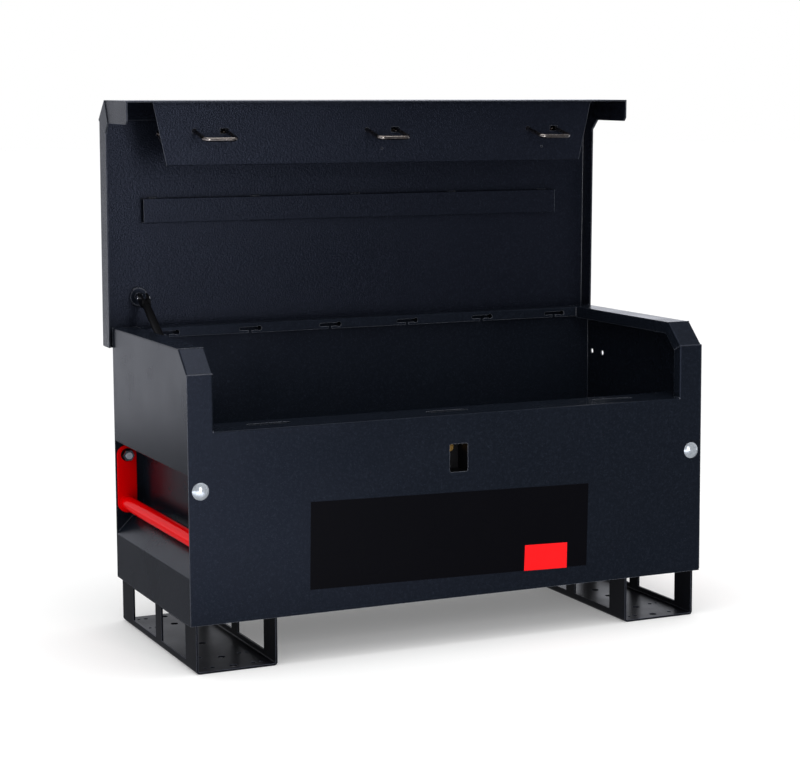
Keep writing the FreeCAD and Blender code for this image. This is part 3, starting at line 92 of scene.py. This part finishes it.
def mixed(tree, factor, one, two, kind="FLOAT"):
    """one where the factor is 0 and two where it is 1; kind is FLOAT, or RGBA for colours."""
    inputs = {"Factor": factor, "A": one, "B": two}
    return add_node(tree, "ShaderNodeMix", inputs, data_type=kind).outputs["Result"]


def split_axes(tree, vector):
    """X, Y and Z outputs of a vector."""
    return add_node(tree, "ShaderNodeSeparateXYZ", {0: vector}).outputs


# ------------------------------------------------------------------------- materials

BLUE_GLOSS = (0.62, 0.7, 1, 1)  # tone of the cabinet coat's reflections

# Sizes of the finishes' patterns, in cycles or cells per metre.
COAT_CLOUDS = 130
COAT_SPARKLE = 800
COAT_PEEL = 260
COAT_GLOSS = 9
METAL_CLOUDS = 260
METAL_GLOSS = 70
FINE_GRAIN = 900
FINE_SHARE = 0.3  # height of a coat's fine grain, as a share of its peel
METAL_RELIEF = 0.00004  # height of a metal's fine grain, in metres


class Material:
    """A node material with a Principled shader, built up by short calls."""

    def __init__(self, name, colour, roughness, metallic=0.0, specular=0.5, soft_edge=0.0012):
        self.data = bpy.data.materials.new(name)
        self.data.use_nodes = True
        self.tree = self.data.node_tree
        self.shader = self.tree.nodes["Principled BSDF"]
        self.place = self.add("ShaderNodeTexCoord").outputs["Object"]
        bevel = self.add("ShaderNodeBevel", {"Radius": soft_edge}, samples=6)
        self.rounded = bevel.outputs["Normal"]
        self.colour = colour
        self.normal = self.rounded
        self.feed("Base Color", colour)
        self.feed("Normal", self.rounded)
        self.feed("Roughness", roughness)
        self.feed("Metallic", metallic)
        self.feed("Specular IOR Level", specular)

    def add(self, kind, inputs=None, **settings):
        """New node in this material."""
        return add_node(self.tree, kind, inputs, **settings)

    def feed(self, name, value):
        """Link or set one of the shader's inputs."""
        feed(self.tree, self.shader.inputs[name], value)

    def noise(self, scale, detail):
        """Factor of a noise texture, scale in cycles per metre."""
        inputs = {"Vector": self.place, "Scale": scale, "Detail": detail}
        return self.add("ShaderNodeTexNoise", inputs).outputs["Fac"]

    def grains(self, scale):
        """One random value for each cell of a Voronoi pattern, scale in cells per metre."""
        cells = self.add("ShaderNodeTexVoronoi", {"Vector": self.place, "Scale": scale})
        split = self.add("ShaderNodeSeparateColor", {"Color": cells.outputs["Color"]})
        return split.outputs["Red"]

    def edge(self):
        """1 on sharp edges and 0 on flat faces."""
        sharp = self.add("ShaderNodeNewGeometry").outputs["Normal"]
        inputs = {0: self.rounded, 1: sharp}
        likeness = self.add("ShaderNodeVectorMath", inputs, operation="DOT_PRODUCT")
        return self.ramp(likeness.outputs["Value"], 1, 0, start=0.8, end=0.995)

    def ramp(self, source, low, high, start=0.0, end=1.0):
        """Map a factor from start..end to low..high."""
        return spread(self.tree, source, start, end, low, high)

    def tint(self, factor, other):
        """Mix the present base colour with another by a factor."""
        self.colour = mixed(self.tree, factor, self.colour, other, "RGBA")
        self.feed("Base Color", self.colour)

    def bump(self, source, height, strength):
        """Stack one more bump, height in metres."""
        inputs = {"Normal": self.normal, "Height": source, "Distance": height, "Strength": strength}
        self.normal = self.add("ShaderNodeBump", inputs).outputs["Normal"]
        self.feed("Normal", self.normal)

    def rough(self, source, low, high):
        """Vary the roughness from low to high with a noise factor."""
        self.feed("Roughness", self.ramp(source, low, high, start=0.3, end=0.7))


def powder_coat(name, colour, fleck, edge_wear_and_highlight, roughness, specular, peel, gloss=WHITE):
    """Powder coat: orange peel, sparkling flecks, a slightly uneven gloss, and paler edges that
    stand partly for rubbed wear and partly for a painted highlight along folds and cut edges.
    """
    made = Material(name, colour, roughness, specular=specular)
    made.feed("Specular Tint", gloss)
    clouds = made.ramp(made.noise(COAT_CLOUDS, detail=3), 0, 0.2, start=0.5, end=0.8)
    made.tint(clouds, fleck)
    sparkle = made.ramp(made.grains(COAT_SPARKLE), 0, 0.5, start=0.9, end=1.0)
    made.tint(sparkle, fleck)
    # Paler edges: partly rubbed wear, partly a painted highlight on folds and cut edges.
    edges = made.ramp(made.edge(), 0, 0.8)
    made.tint(edges, edge_wear_and_highlight)
    made.bump(made.noise(COAT_PEEL, detail=2), peel, strength=0.8)
    made.bump(made.noise(FINE_GRAIN, detail=1), peel * FINE_SHARE, strength=0.8)
    made.rough(made.noise(COAT_GLOSS, detail=3), roughness - 0.04, roughness + 0.05)
    return made


def metal(name, colour, shade, roughness, clouds=METAL_CLOUDS, metallic=1.0):
    """Plated or bare metal with a cloudy surface."""
    made = Material(name, colour, roughness, metallic=metallic, soft_edge=0.0006)
    cloudy = made.ramp(made.noise(clouds, detail=4), 0, 0.8, start=0.4, end=0.75)
    made.tint(cloudy, shade)
    made.rough(made.noise(METAL_GLOSS, detail=4), roughness - 0.08, roughness + 0.1)
    made.bump(made.noise(FINE_GRAIN, detail=3), METAL_RELIEF, strength=0.5)
    return made


navy = powder_coat("navy_powder_coat", srgb(17, 21, 28), srgb(44, 50, 62), srgb(150, 154, 164),
                   roughness=0.24, specular=0.14, peel=0.0002, gloss=BLUE_GLOSS)
textured = powder_coat("textured_navy_coat", srgb(17, 20, 28), srgb(44, 49, 61),
                       srgb(150, 154, 164), roughness=0.2, specular=0.14, peel=0.0011,
                       gloss=BLUE_GLOSS)
# Weld beads carry the same navy coat; their paler colour is a painted highlight that makes the
# beads show as light lines.
highlit_weld = powder_coat("weld_coat_with_painted_highlight", srgb(34, 38, 48), srgb(70, 75, 88), srgb(110, 114, 124),
                   roughness=0.15, specular=0.5, peel=0.00004)
red = powder_coat("red_coat", srgb(238, 0, 4), srgb(240, 2, 8), srgb(240, 8, 14),
                  roughness=0.16, specular=0.04, peel=0.00001)
satin = powder_coat("satin_navy_coat", srgb(16, 17, 22), srgb(34, 36, 44), srgb(124, 130, 148),
                    roughness=0.33, specular=0.08, peel=0.0002)
black = powder_coat("black_coat", srgb(13, 13, 15), srgb(22, 22, 25), srgb(30, 30, 34),
                    roughness=0.4, specular=0.12, peel=0.00003)
zinc = metal("zinc_plate", srgb(218, 225, 232), srgb(176, 184, 196), 0.2, metallic=0.65)
dark_zinc = metal("dark_washer", srgb(30, 30, 33), srgb(20, 20, 22), 0.42)
dark_nut = metal("dark_nut", srgb(112, 116, 122), srgb(60, 62, 66), 0.14)
steel = metal("raw_steel", srgb(138, 132, 128), srgb(112, 101, 95), 0.22, clouds=90)
brass = metal("brass", srgb(168, 134, 74), srgb(112, 88, 50), 0.3)
chrome = metal("rod_chrome", srgb(225, 227, 230), srgb(205, 208, 212), 0.12)
film = powder_coat("label_film", srgb(9, 9, 13), srgb(12, 12, 16), srgb(20, 20, 26),
                   roughness=0.3, specular=0.03, peel=0.00001)
red_film = powder_coat("red_film", srgb(250, 14, 20), srgb(246, 20, 26), srgb(250, 30, 34),
                       roughness=0.25, specular=0.2, peel=0.00002)

LOOKS = {
    "navy_coat": navy,
    "red_coat": red,
    "zinc": zinc,
    "dark_washer": dark_zinc,
    "raw_steel": steel,
    "brass": brass,
    "black_coat": black,
    "rod_chrome": chrome,
}
SPECIAL_LOOKS = {
    "lid_shell": textured,
    "staple_panel": textured,
    "lid_stiffener": textured,
    "left_skid": satin,
    "right_skid": satin,
    "lock_pocket": black,
    "strut_pin": chrome,
    "pivot_nuts": dark_nut,
}
for entry in frame["record"]["subparts"]:
    look = SPECIAL_LOOKS.get(entry["node"], LOOKS[entry["material_slot"]])
    mesh = frame["nodes"][entry["node"]].data
    mesh.materials.clear()
    mesh.materials.append(look.data)


# ---------------------------------------------------------------------------- pieces

# Places on the cabinet, in metres: depths, distances from the middle plane, and levels.
FRONT = -0.2911  # outer face of the front panel
CHAMFER_TOP = FRONT + 0.054  # where the rims' chamfer ends
RAIL = 0.2105  # just before the rear rail
REAR = 0.2459  # where the side panels meet the back panel
BACK = 0.2495  # just off the back panel's outer face

OUTER = 0.6375  # outer face of the side panels
WALL = 0.6345  # inner face of the side panels
INNER = 0.5795  # inner edge of the side rims

FOOT = 0.112  # lower end of the corners' beads
WELL_LIP = 0.209  # just under the wells' slope
WELL_TOP = 0.437  # just over the wells
LEDGE = 0.5268  # just over the ledge
MITRE_FOOT = 0.6415  # rear end of the mitre behind the strips' top
STRIP_TOP = 0.65  # where the chamfer starts
WALL_TOP = 0.674  # lower edge of the rims' return
RAIL_FOOT = 0.676  # lower and upper end of the rail's own return
RAIL_TOP = 0.7
RIM = 0.701  # top of the side rims
SLOPE = ((0.6335, 0.217), (0.594, 0.2565))  # a well's slope, from the middle and up

# Places on the closed lid, from its hinge axis: backward and up, in metres.
HINGE = Vector((0, 0.2619, 0.6685))
OPEN = math.radians(89)
STIFFENER_EDGES = (-0.273, -0.331)
STITCH_LEVEL = 0.0343  # stitches reach just into the plate
BRACKET_LEVEL = 0.033  # of the arc round the strut's bracket
SKIRT_SEAM = (0.012, -0.512)  # rear and front end
SKIRT_LEVEL = 0.0342
SKIRT = 0.6415  # just inside the skirts, from the middle plane

# Places on the open lid's corner tabs and on the handles' bars.
TAB_FACE = 0.6462  # just inside the tabs' outer faces, from the middle plane
TAB_EDGE = ((0.2905, 1.183), (0.2426, 1.1538))  # lower rear edge, backward and up
COLLAR_RADIUS = 0.0172  # just over the bars' own
COLLAR_INSET = 0.0008  # from a bar's end

ALONG = Vector((1, 0, 0))
FORWARD = Vector((0, -1, 0))
BACKWARD = Vector((0, 1, 0))
UPWARD = Vector((0, 0, 1))

RIPPLE = 0.18  # unevenness of the cabinet's beads, as a share of their radius
BEAD_SIDES = 8  # corners of one ring
BEAD_STEP = 0.55  # spacing of the rings, in radii
BEAD_CORE = 0.86  # size of a ring before its ripple, in radii
BEAD_WAVE = 0.9  # angle of the ripple from one ring to the next
BEAD_TIP = 0.45  # share of its size that an end ring keeps


def add_object(name, data):
    """New object in the scene's own collection."""
    made = bpy.data.objects.new(name, data)
    bpy.context.scene.collection.objects.link(made)
    return made


def piece(name, body, look, bm):
    """Finished mesh that rides on one body."""
    bmesh.ops.recalc_face_normals(bm, faces=bm.faces)
    mesh = bpy.data.meshes.new(name)
    bm.to_mesh(mesh)
    bm.free()
    mesh.materials.append(look.data)
    made = add_object(name, mesh)
    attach(made, body)


def resample(points, step, closed):
    """Points spaced about one step apart along a path."""
    ends = points + points[:1] if closed else points
    spots = []
    for start, end in zip(ends, ends[1:]):
        count = max(1, round((end - start).length / step))
        spots += [start.lerp(end, i / count) for i in range(count)]
    return spots if closed else spots + [ends[-1]]


def ring_points(middle, one, other, radius, count):
    """Points of a circle in the plane of two unit directions."""
    return [middle + radius * (math.cos(a) * one + math.sin(a) * other)
            for a in (k * math.tau / count for k in range(count))]


def bead(bm, points, radius, axis, rough, seed, closed=False):
    """Weld bead along a path; axis is any direction across it, rough its unevenness."""
    draw = random.Random(seed)
    spots = resample(points, radius * BEAD_STEP, closed)
    count = len(spots)
    rings = []
    for i, spot in enumerate(spots):
        before = spots[i - 1] if closed or i else spot
        after = spots[(i + 1) % count] if closed or i + 1 < count else spot
        ahead = (after - before).normalized()
        side = ahead.cross(axis).normalized()
        up = side.cross(ahead)
        wave = rough * abs(math.sin(i * BEAD_WAVE))
        size = radius * (BEAD_CORE + wave + rough * draw.uniform(-0.5, 0.5))
        if not closed and i in (0, count - 1):
            size *= BEAD_TIP
        middle = spot + side * radius * rough * draw.uniform(-0.5, 0.5)
        rings.append([bm.verts.new(p) for p in ring_points(middle, side, up, size, BEAD_SIDES)])
    for i in range(count if closed else count - 1):
        one, two = rings[i], rings[(i + 1) % count]
        for k in range(BEAD_SIDES):
            turn = (k + 1) % BEAD_SIDES
            face = bm.faces.new((one[k], one[turn], two[turn], two[k]))
            face.smooth = True
    if not closed:
        bm.faces.new(rings[0])
        bm.faces.new(rings[-1])


def open_lid(x, back, up):
    """A point given in the closed lid's frame, where the open lid has it."""
    turn = Matrix.Rotation(-OPEN, 3, "X")
    return HINGE + turn @ Vector((x, back, up))


def cabinet_welds():
    """Beads on the cabinet's corners, rims, wells and rail ends, the same on both sides."""
    bm = bmesh.new()
    proud = FRONT + 0.002
    seams = [  # start, end, radius, direction across, unevenness, seed
        # foot of the chamfer, the corner under it, and the chamfer's upper edge
        ((INNER, FRONT, STRIP_TOP), (OUTER, FRONT, STRIP_TOP), 0.0016, FORWARD, RIPPLE, 2),
        # The front corner bead runs the full height to the foot; along most of it, it paints a
        # highlight line on the fold rather than a weld.
        ((OUTER, FRONT, STRIP_TOP), (OUTER, FRONT, FOOT), 0.001, FORWARD, RIPPLE, 3),
        ((INNER, CHAMFER_TOP, RIM), (OUTER, CHAMFER_TOP, RIM), 0.0009, UPWARD, RIPPLE, 4),
        # mitre between the returns of strip and chamfer, and the strip's return on the ledge
        ((INNER, proud, STRIP_TOP), (INNER, FRONT + 0.027, MITRE_FOOT), 0.0014, UPWARD, RIPPLE, 5),
        ((INNER, proud, LEDGE), (INNER, FRONT + 0.02, LEDGE), 0.0018, UPWARD, RIPPLE, 6),
        # rail's end, the rear corner inside the box, and the rear corner under the well
        ((INNER, RAIL, RAIL_FOOT), (INNER, RAIL, RAIL_TOP), 0.0016, FORWARD, RIPPLE, 7),
        ((WALL, REAR, WELL_TOP), (WALL, REAR, WALL_TOP), 0.0012, FORWARD, RIPPLE, 8),
        ((OUTER, REAR, FOOT), (OUTER, REAR, WELL_LIP), 0.0009, FORWARD, RIPPLE, 11),
    ]
    for y in (FRONT + 0.003, REAR):  # both ends of a well's slope
        start, end = ((x, y, z) for x, z in SLOPE)
        seams.append((start, end, 0.0022, FORWARD, 0.3, 9))
    for way in (-1, 1):
        for start, end, radius, axis, rough, seed in seams:
            path = [Vector((way * x, y, z)) for x, y, z in (start, end)]
            bead(bm, path, radius, axis, rough, seed)
    piece("cabinet_welds", "box", highlit_weld, bm)


def hinge_welds():
    """Beads along the lower edge of the hinge leaves on the back."""
    bm = bmesh.new()
    short = 0.004  # how far a bead stops before the leaf's corners
    for name in ("left", "centre", "right"):
        low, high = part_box(f"{name}_hinge_body_leaf")
        path = [Vector((x, BACK, low.z)) for x in (low.x + short, high.x - short)]
        bead(bm, path, radius=0.0022, axis=UPWARD, rough=0.25, seed=12)
    piece("hinge_welds", "box", highlit_weld, bm)


def stiffener_stitches(bm):
    """Short beads along both edges of the lid's stiffener."""
    half = 0.0135  # of a stitch's length
    seeds = {-0.522: 16, -0.262: 17, 0: 13, 0.264: 18, 0.521: 16}  # by the stitch's middle
    for x, seed in seeds.items():
        for back in STIFFENER_EDGES:
            path = [open_lid(end, back, STITCH_LEVEL) for end in (x - half, x + half)]
            bead(bm, path, radius=0.0024, axis=UPWARD, rough=0.35, seed=seed)


def bracket_arc(bm):
    """Ragged bead round the strut's bracket, open towards the lid's left edge."""
    low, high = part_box("strut_lid_bracket")
    middle = Vector(((low.x + high.x) / 2, 0, (low.z + high.z) / 2))
    middle.y = open_lid(0, HINGE.z - middle.z, BRACKET_LEVEL).y
    ring = ring_points(middle, ALONG, UPWARD, radius=0.0208, count=40)
    gap_start, gap_end = 16, 25
    path = ring[gap_end:] + ring[:gap_start]
    bead(bm, path, radius=0.003, axis=BACKWARD, rough=0.45, seed=20)


def lid_welds():
    """Stitches along the stiffener, an arc round the strut's bracket and side seams."""
    bm = bmesh.new()
    stiffener_stitches(bm)
    bracket_arc(bm)
    for way in (-1, 1):
        path = [open_lid(way * SKIRT, back, SKIRT_LEVEL) for back in SKIRT_SEAM]
        bead(bm, path, radius=0.0014, axis=BACKWARD, rough=0.12, seed=21)
    piece("lid_welds", "lid", highlit_weld, bm)


def tab_shadow_lines():
    """Painted shadow: a dark bead under the lower rear edge of each corner tab, where the raised
    tab casts its shadow.
    """
    bm = bmesh.new()
    for way in (-1, 1):
        path = [Vector((way * TAB_FACE, y, z)) for y, z in TAB_EDGE]
        bead(bm, path, radius=0.0012, axis=ALONG, rough=0.05, seed=22)
    piece("tab_shadow_lines", "lid", black, bm)


def handle_welds(side, seed):
    """Smooth collars where the bar meets its two arms."""
    bm = bmesh.new()
    low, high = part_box(f"{side}_handle_bar")
    x, z = (low.x + high.x) / 2, (low.z + high.z) / 2
    for y in (low.y + COLLAR_INSET, high.y - COLLAR_INSET):
        circle = ring_points(Vector((x, y, z)), ALONG, UPWARD, COLLAR_RADIUS, count=56)
        bead(bm, circle, radius=0.0026, axis=BACKWARD, rough=0.07, seed=seed, closed=True)
    piece(f"{side}_handle_welds", f"{side}_handle", red, bm)


def plate(name, corners, carrier, thickness, look):
    """Thin four-cornered plate on the front; corners are (x, z).

    carrier is how far the face that it lies on stands before the front panel.
    """
    bm = bmesh.new()
    sunk = 0.00005  # how far it reaches into what it lies on
    back = FRONT - carrier + sunk
    inner, outer = ([bm.verts.new((x, y, z)) for x, z in corners]
                    for y in (back, back - thickness))
    bm.faces.new(inner)
    bm.faces.new(outer)
    for i in range(len(corners)):
        bm.faces.new((inner[i - 1], inner[i], outer[i], outer[i - 1]))
    piece(name, "box", look, bm)


def label():
    """Bare black plate with a plain red panel at its lower right."""
    thickness = 0.0005
    outline = [(-0.3589, 0.3566), (0.3338, 0.3426), (0.3289, 0.1496), (-0.3624, 0.1614)]
    plate("label_plate", outline, 0, thickness, film)
    outline = [(0.1678, 0.2118), (0.2778, 0.2088), (0.2766, 0.1492), (0.1655, 0.1521)]
    plate("label_red_panel", outline, thickness, 0.0002, red_film)


cabinet_welds()
hinge_welds()
lid_welds()
tab_shadow_lines()
for side, seed in (("left", 29), ("right", 31)):
    handle_welds(side, seed)
label()


# ---------------------------------------------------------------------------- studio

COOL = (0.9, 0.92, 1, 1)  # tone of what the coats and metals mirror

FLOOR_REACH = 60  # half the floor's width, in metres
FLOOR_DROP = 0.0004  # keeps it just under the skids
FLOOR_TONE = (0.88, 0.88, 0.88, 1)
FLOOR_LIFT = 0.16  # glow that brings it to white for the camera

# What the coats mirror of the floor: from, to in metres, and the strength at each.
FRONT_TO_REAR = (-1.3, -0.5, 0.0, 1.0)  # by y, share of the rear part
FRONT_GLOW = (-0.6, 0.3, 2.4, 0.22)  # by x, bright at the left
FRONT_LEAN = 0.2  # how far the bright part leans, x per y
REAR_GLOW = (2.95, 4.15, 0.23, 1.17)  # by distance, dim near the box and pale behind it
REAR_FADE = (6.0, 13.0, 0.0, 0.48)  # by distance, what is taken off again

# What the world shows by direction: from, to along one axis, and the strength at each.
SKY = (0.0, 1.0, 0.3, 1.35)  # by z, as light on the object
BACK_GLOW = (-0.5, 0.5, 0.2, 0.8)  # by y, in reflections
FAR_WALL = (0.6, 0.88, 0.0, 0.8)  # by y, added to that far behind
FAR_WINDOW = (0.36, 0.46, 0.1, 1.0)  # by x, share of the far wall that is added

# The camera, fitted to the box's own corners in the photograph.
PICTURE_WIDTH = 800  # pixels
FOCAL_LENGTH = 2069.39  # pixels
SENSOR = 36  # millimetres
CAMERA_SHIFT = (-0.0168, -0.0419)
CAMERA_PLACE = (-2.01144, -4.41662, 1.20233)
CAMERA_YAW, CAMERA_PITCH, CAMERA_ROLL = (math.radians(a) for a in (24.73, -6.71, -0.26))


def shader_tree(data):
    """A cleared node tree."""
    data.use_nodes = True
    data.node_tree.nodes.clear()
    return data.node_tree


def seen_directly(tree, path):
    """1 for rays from the camera or through a clear part, and 0 for others."""
    return math_node(tree, "MAXIMUM", path["Is Camera Ray"], path["Is Transmission Ray"])


def plain_floor(tree, path):
    """Matt pale shader that is white to the camera but for the box's shadow."""
    matt = add_node(tree, "ShaderNodeBsdfDiffuse", {"Color": FLOOR_TONE})
    lift = math_node(tree, "MULTIPLY", seen_directly(tree, path), FLOOR_LIFT)
    glow = add_node(tree, "ShaderNodeEmission", {"Strength": lift})
    both = add_node(tree, "ShaderNodeAddShader", {0: matt.outputs[0], 1: glow.outputs[0]})
    return both.outputs[0]


def mirrored_floor(tree):
    """Glow in reflections: bright at the left in front; dim, pale, then fainter behind."""
    place = add_node(tree, "ShaderNodeTexCoord").outputs["Object"]
    away = add_node(tree, "ShaderNodeVectorMath", {0: place}, operation="LENGTH").outputs["Value"]
    axes = split_axes(tree, place)
    lean = math_node(tree, "MULTIPLY", axes["Y"], FRONT_LEAN)
    slant = math_node(tree, "ADD", axes["X"], lean)
    front = spread(tree, slant, *FRONT_GLOW)
    rear = spread(tree, away, *REAR_GLOW, kind="SMOOTHSTEP")
    rear = math_node(tree, "SUBTRACT", rear, spread(tree, away, *REAR_FADE))
    share = spread(tree, axes["Y"], *FRONT_TO_REAR)
    inputs = {"Color": COOL, "Strength": mixed(tree, share, front, rear)}
    return add_node(tree, "ShaderNodeEmission", inputs).outputs[0]


def studio_floor():
    """Pale floor, with its own glow for what the coats mirror of it."""
    mesh = bpy.data.meshes.new("floor")
    corners = [(FLOOR_REACH * x, FLOOR_REACH * y, 0)
               for x, y in ((-1, -1), (1, -1), (1, 1), (-1, 1))]
    mesh.from_pydata(corners, [], [(0, 1, 2, 3)])
    floor = add_object("floor", mesh)
    data = bpy.data.materials.new("floor")
    tree = shader_tree(data)
    path = add_node(tree, "ShaderNodeLightPath").outputs
    parts = {0: path["Is Glossy Ray"], 1: plain_floor(tree, path), 2: mirrored_floor(tree)}
    both = add_node(tree, "ShaderNodeMixShader", parts)
    add_node(tree, "ShaderNodeOutputMaterial", {"Surface": both.outputs[0]})
    mesh.materials.append(data)
    floor.location.z = -FLOOR_DROP


def studio_world():
    """White to the camera; a soft sky as light, and a pale back with a bright window to mirror."""
    world = bpy.data.worlds.new("studio")
    bpy.context.scene.world = world
    tree = shader_tree(world)
    path = add_node(tree, "ShaderNodeLightPath").outputs
    axes = split_axes(tree, add_node(tree, "ShaderNodeTexCoord").outputs["Generated"])
    sky = spread(tree, axes["Z"], *SKY)
    far_wall = spread(tree, axes["Y"], *FAR_WALL)
    far_wall = math_node(tree, "MULTIPLY", far_wall, spread(tree, axes["X"], *FAR_WINDOW))
    mirrored = math_node(tree, "ADD", spread(tree, axes["Y"], *BACK_GLOW), far_wall)
    level = mixed(tree, path["Is Glossy Ray"], sky, mirrored)
    strength = mixed(tree, seen_directly(tree, path), level, 1.0)
    tone = mixed(tree, path["Is Glossy Ray"], WHITE, COOL, "RGBA")
    back = add_node(tree, "ShaderNodeBackground", {"Color": tone, "Strength": strength})
    add_node(tree, "ShaderNodeOutputWorld", {"Surface": back.outputs[0]})


def lamp(name, place, target, size, power):
    """Area light that points at a target and that the camera doesn't see."""
    data = bpy.data.lights.new(name, "AREA")
    data.shape = "RECTANGLE"
    data.size, data.size_y = size
    data.energy = power
    made = add_object(name, data)
    made.location = place
    made.rotation_mode = "QUATERNION"
    made.rotation_quaternion = (Vector(target) - Vector(place)).to_track_quat("-Z", "Y")
    made.visible_camera = False


def camera():
    """The photograph's view."""
    data = bpy.data.cameras.new("camera")
    data.sensor_fit = "HORIZONTAL"
    data.sensor_width = SENSOR
    data.lens = FOCAL_LENGTH / PICTURE_WIDTH * SENSOR
    data.shift_x, data.shift_y = CAMERA_SHIFT
    data.clip_start = 0.1
    data.clip_end = 200
    level = math.cos(CAMERA_PITCH)
    ahead = Vector((math.sin(CAMERA_YAW) * level, math.cos(CAMERA_YAW) * level,
                    math.sin(CAMERA_PITCH)))
    right = Vector((math.cos(CAMERA_YAW), -math.sin(CAMERA_YAW), 0))
    up = right.cross(ahead)
    rolled_right = math.cos(CAMERA_ROLL) * right + math.sin(CAMERA_ROLL) * up
    rolled_up = -math.sin(CAMERA_ROLL) * right + math.cos(CAMERA_ROLL) * up
    turn = Matrix((rolled_right, rolled_up, -ahead)).transposed()
    made = add_object("camera", data)
    made.matrix_world = Matrix.Translation(CAMERA_PLACE) @ turn.to_4x4()
    bpy.context.scene.camera = made


studio_floor()
studio_world()
lamp("overhead", place=(0, -0.3, 3.4), target=(0, 0, 0.4), size=(2.2, 1.0), power=20)
lamp("soft_box", place=(-0.2, -3.3, 1.25), target=(-0.2, 0, 1.25), size=(0.8, 1.9), power=38)
camera()
bpy.context.scene.view_settings.view_transform = "Standard"
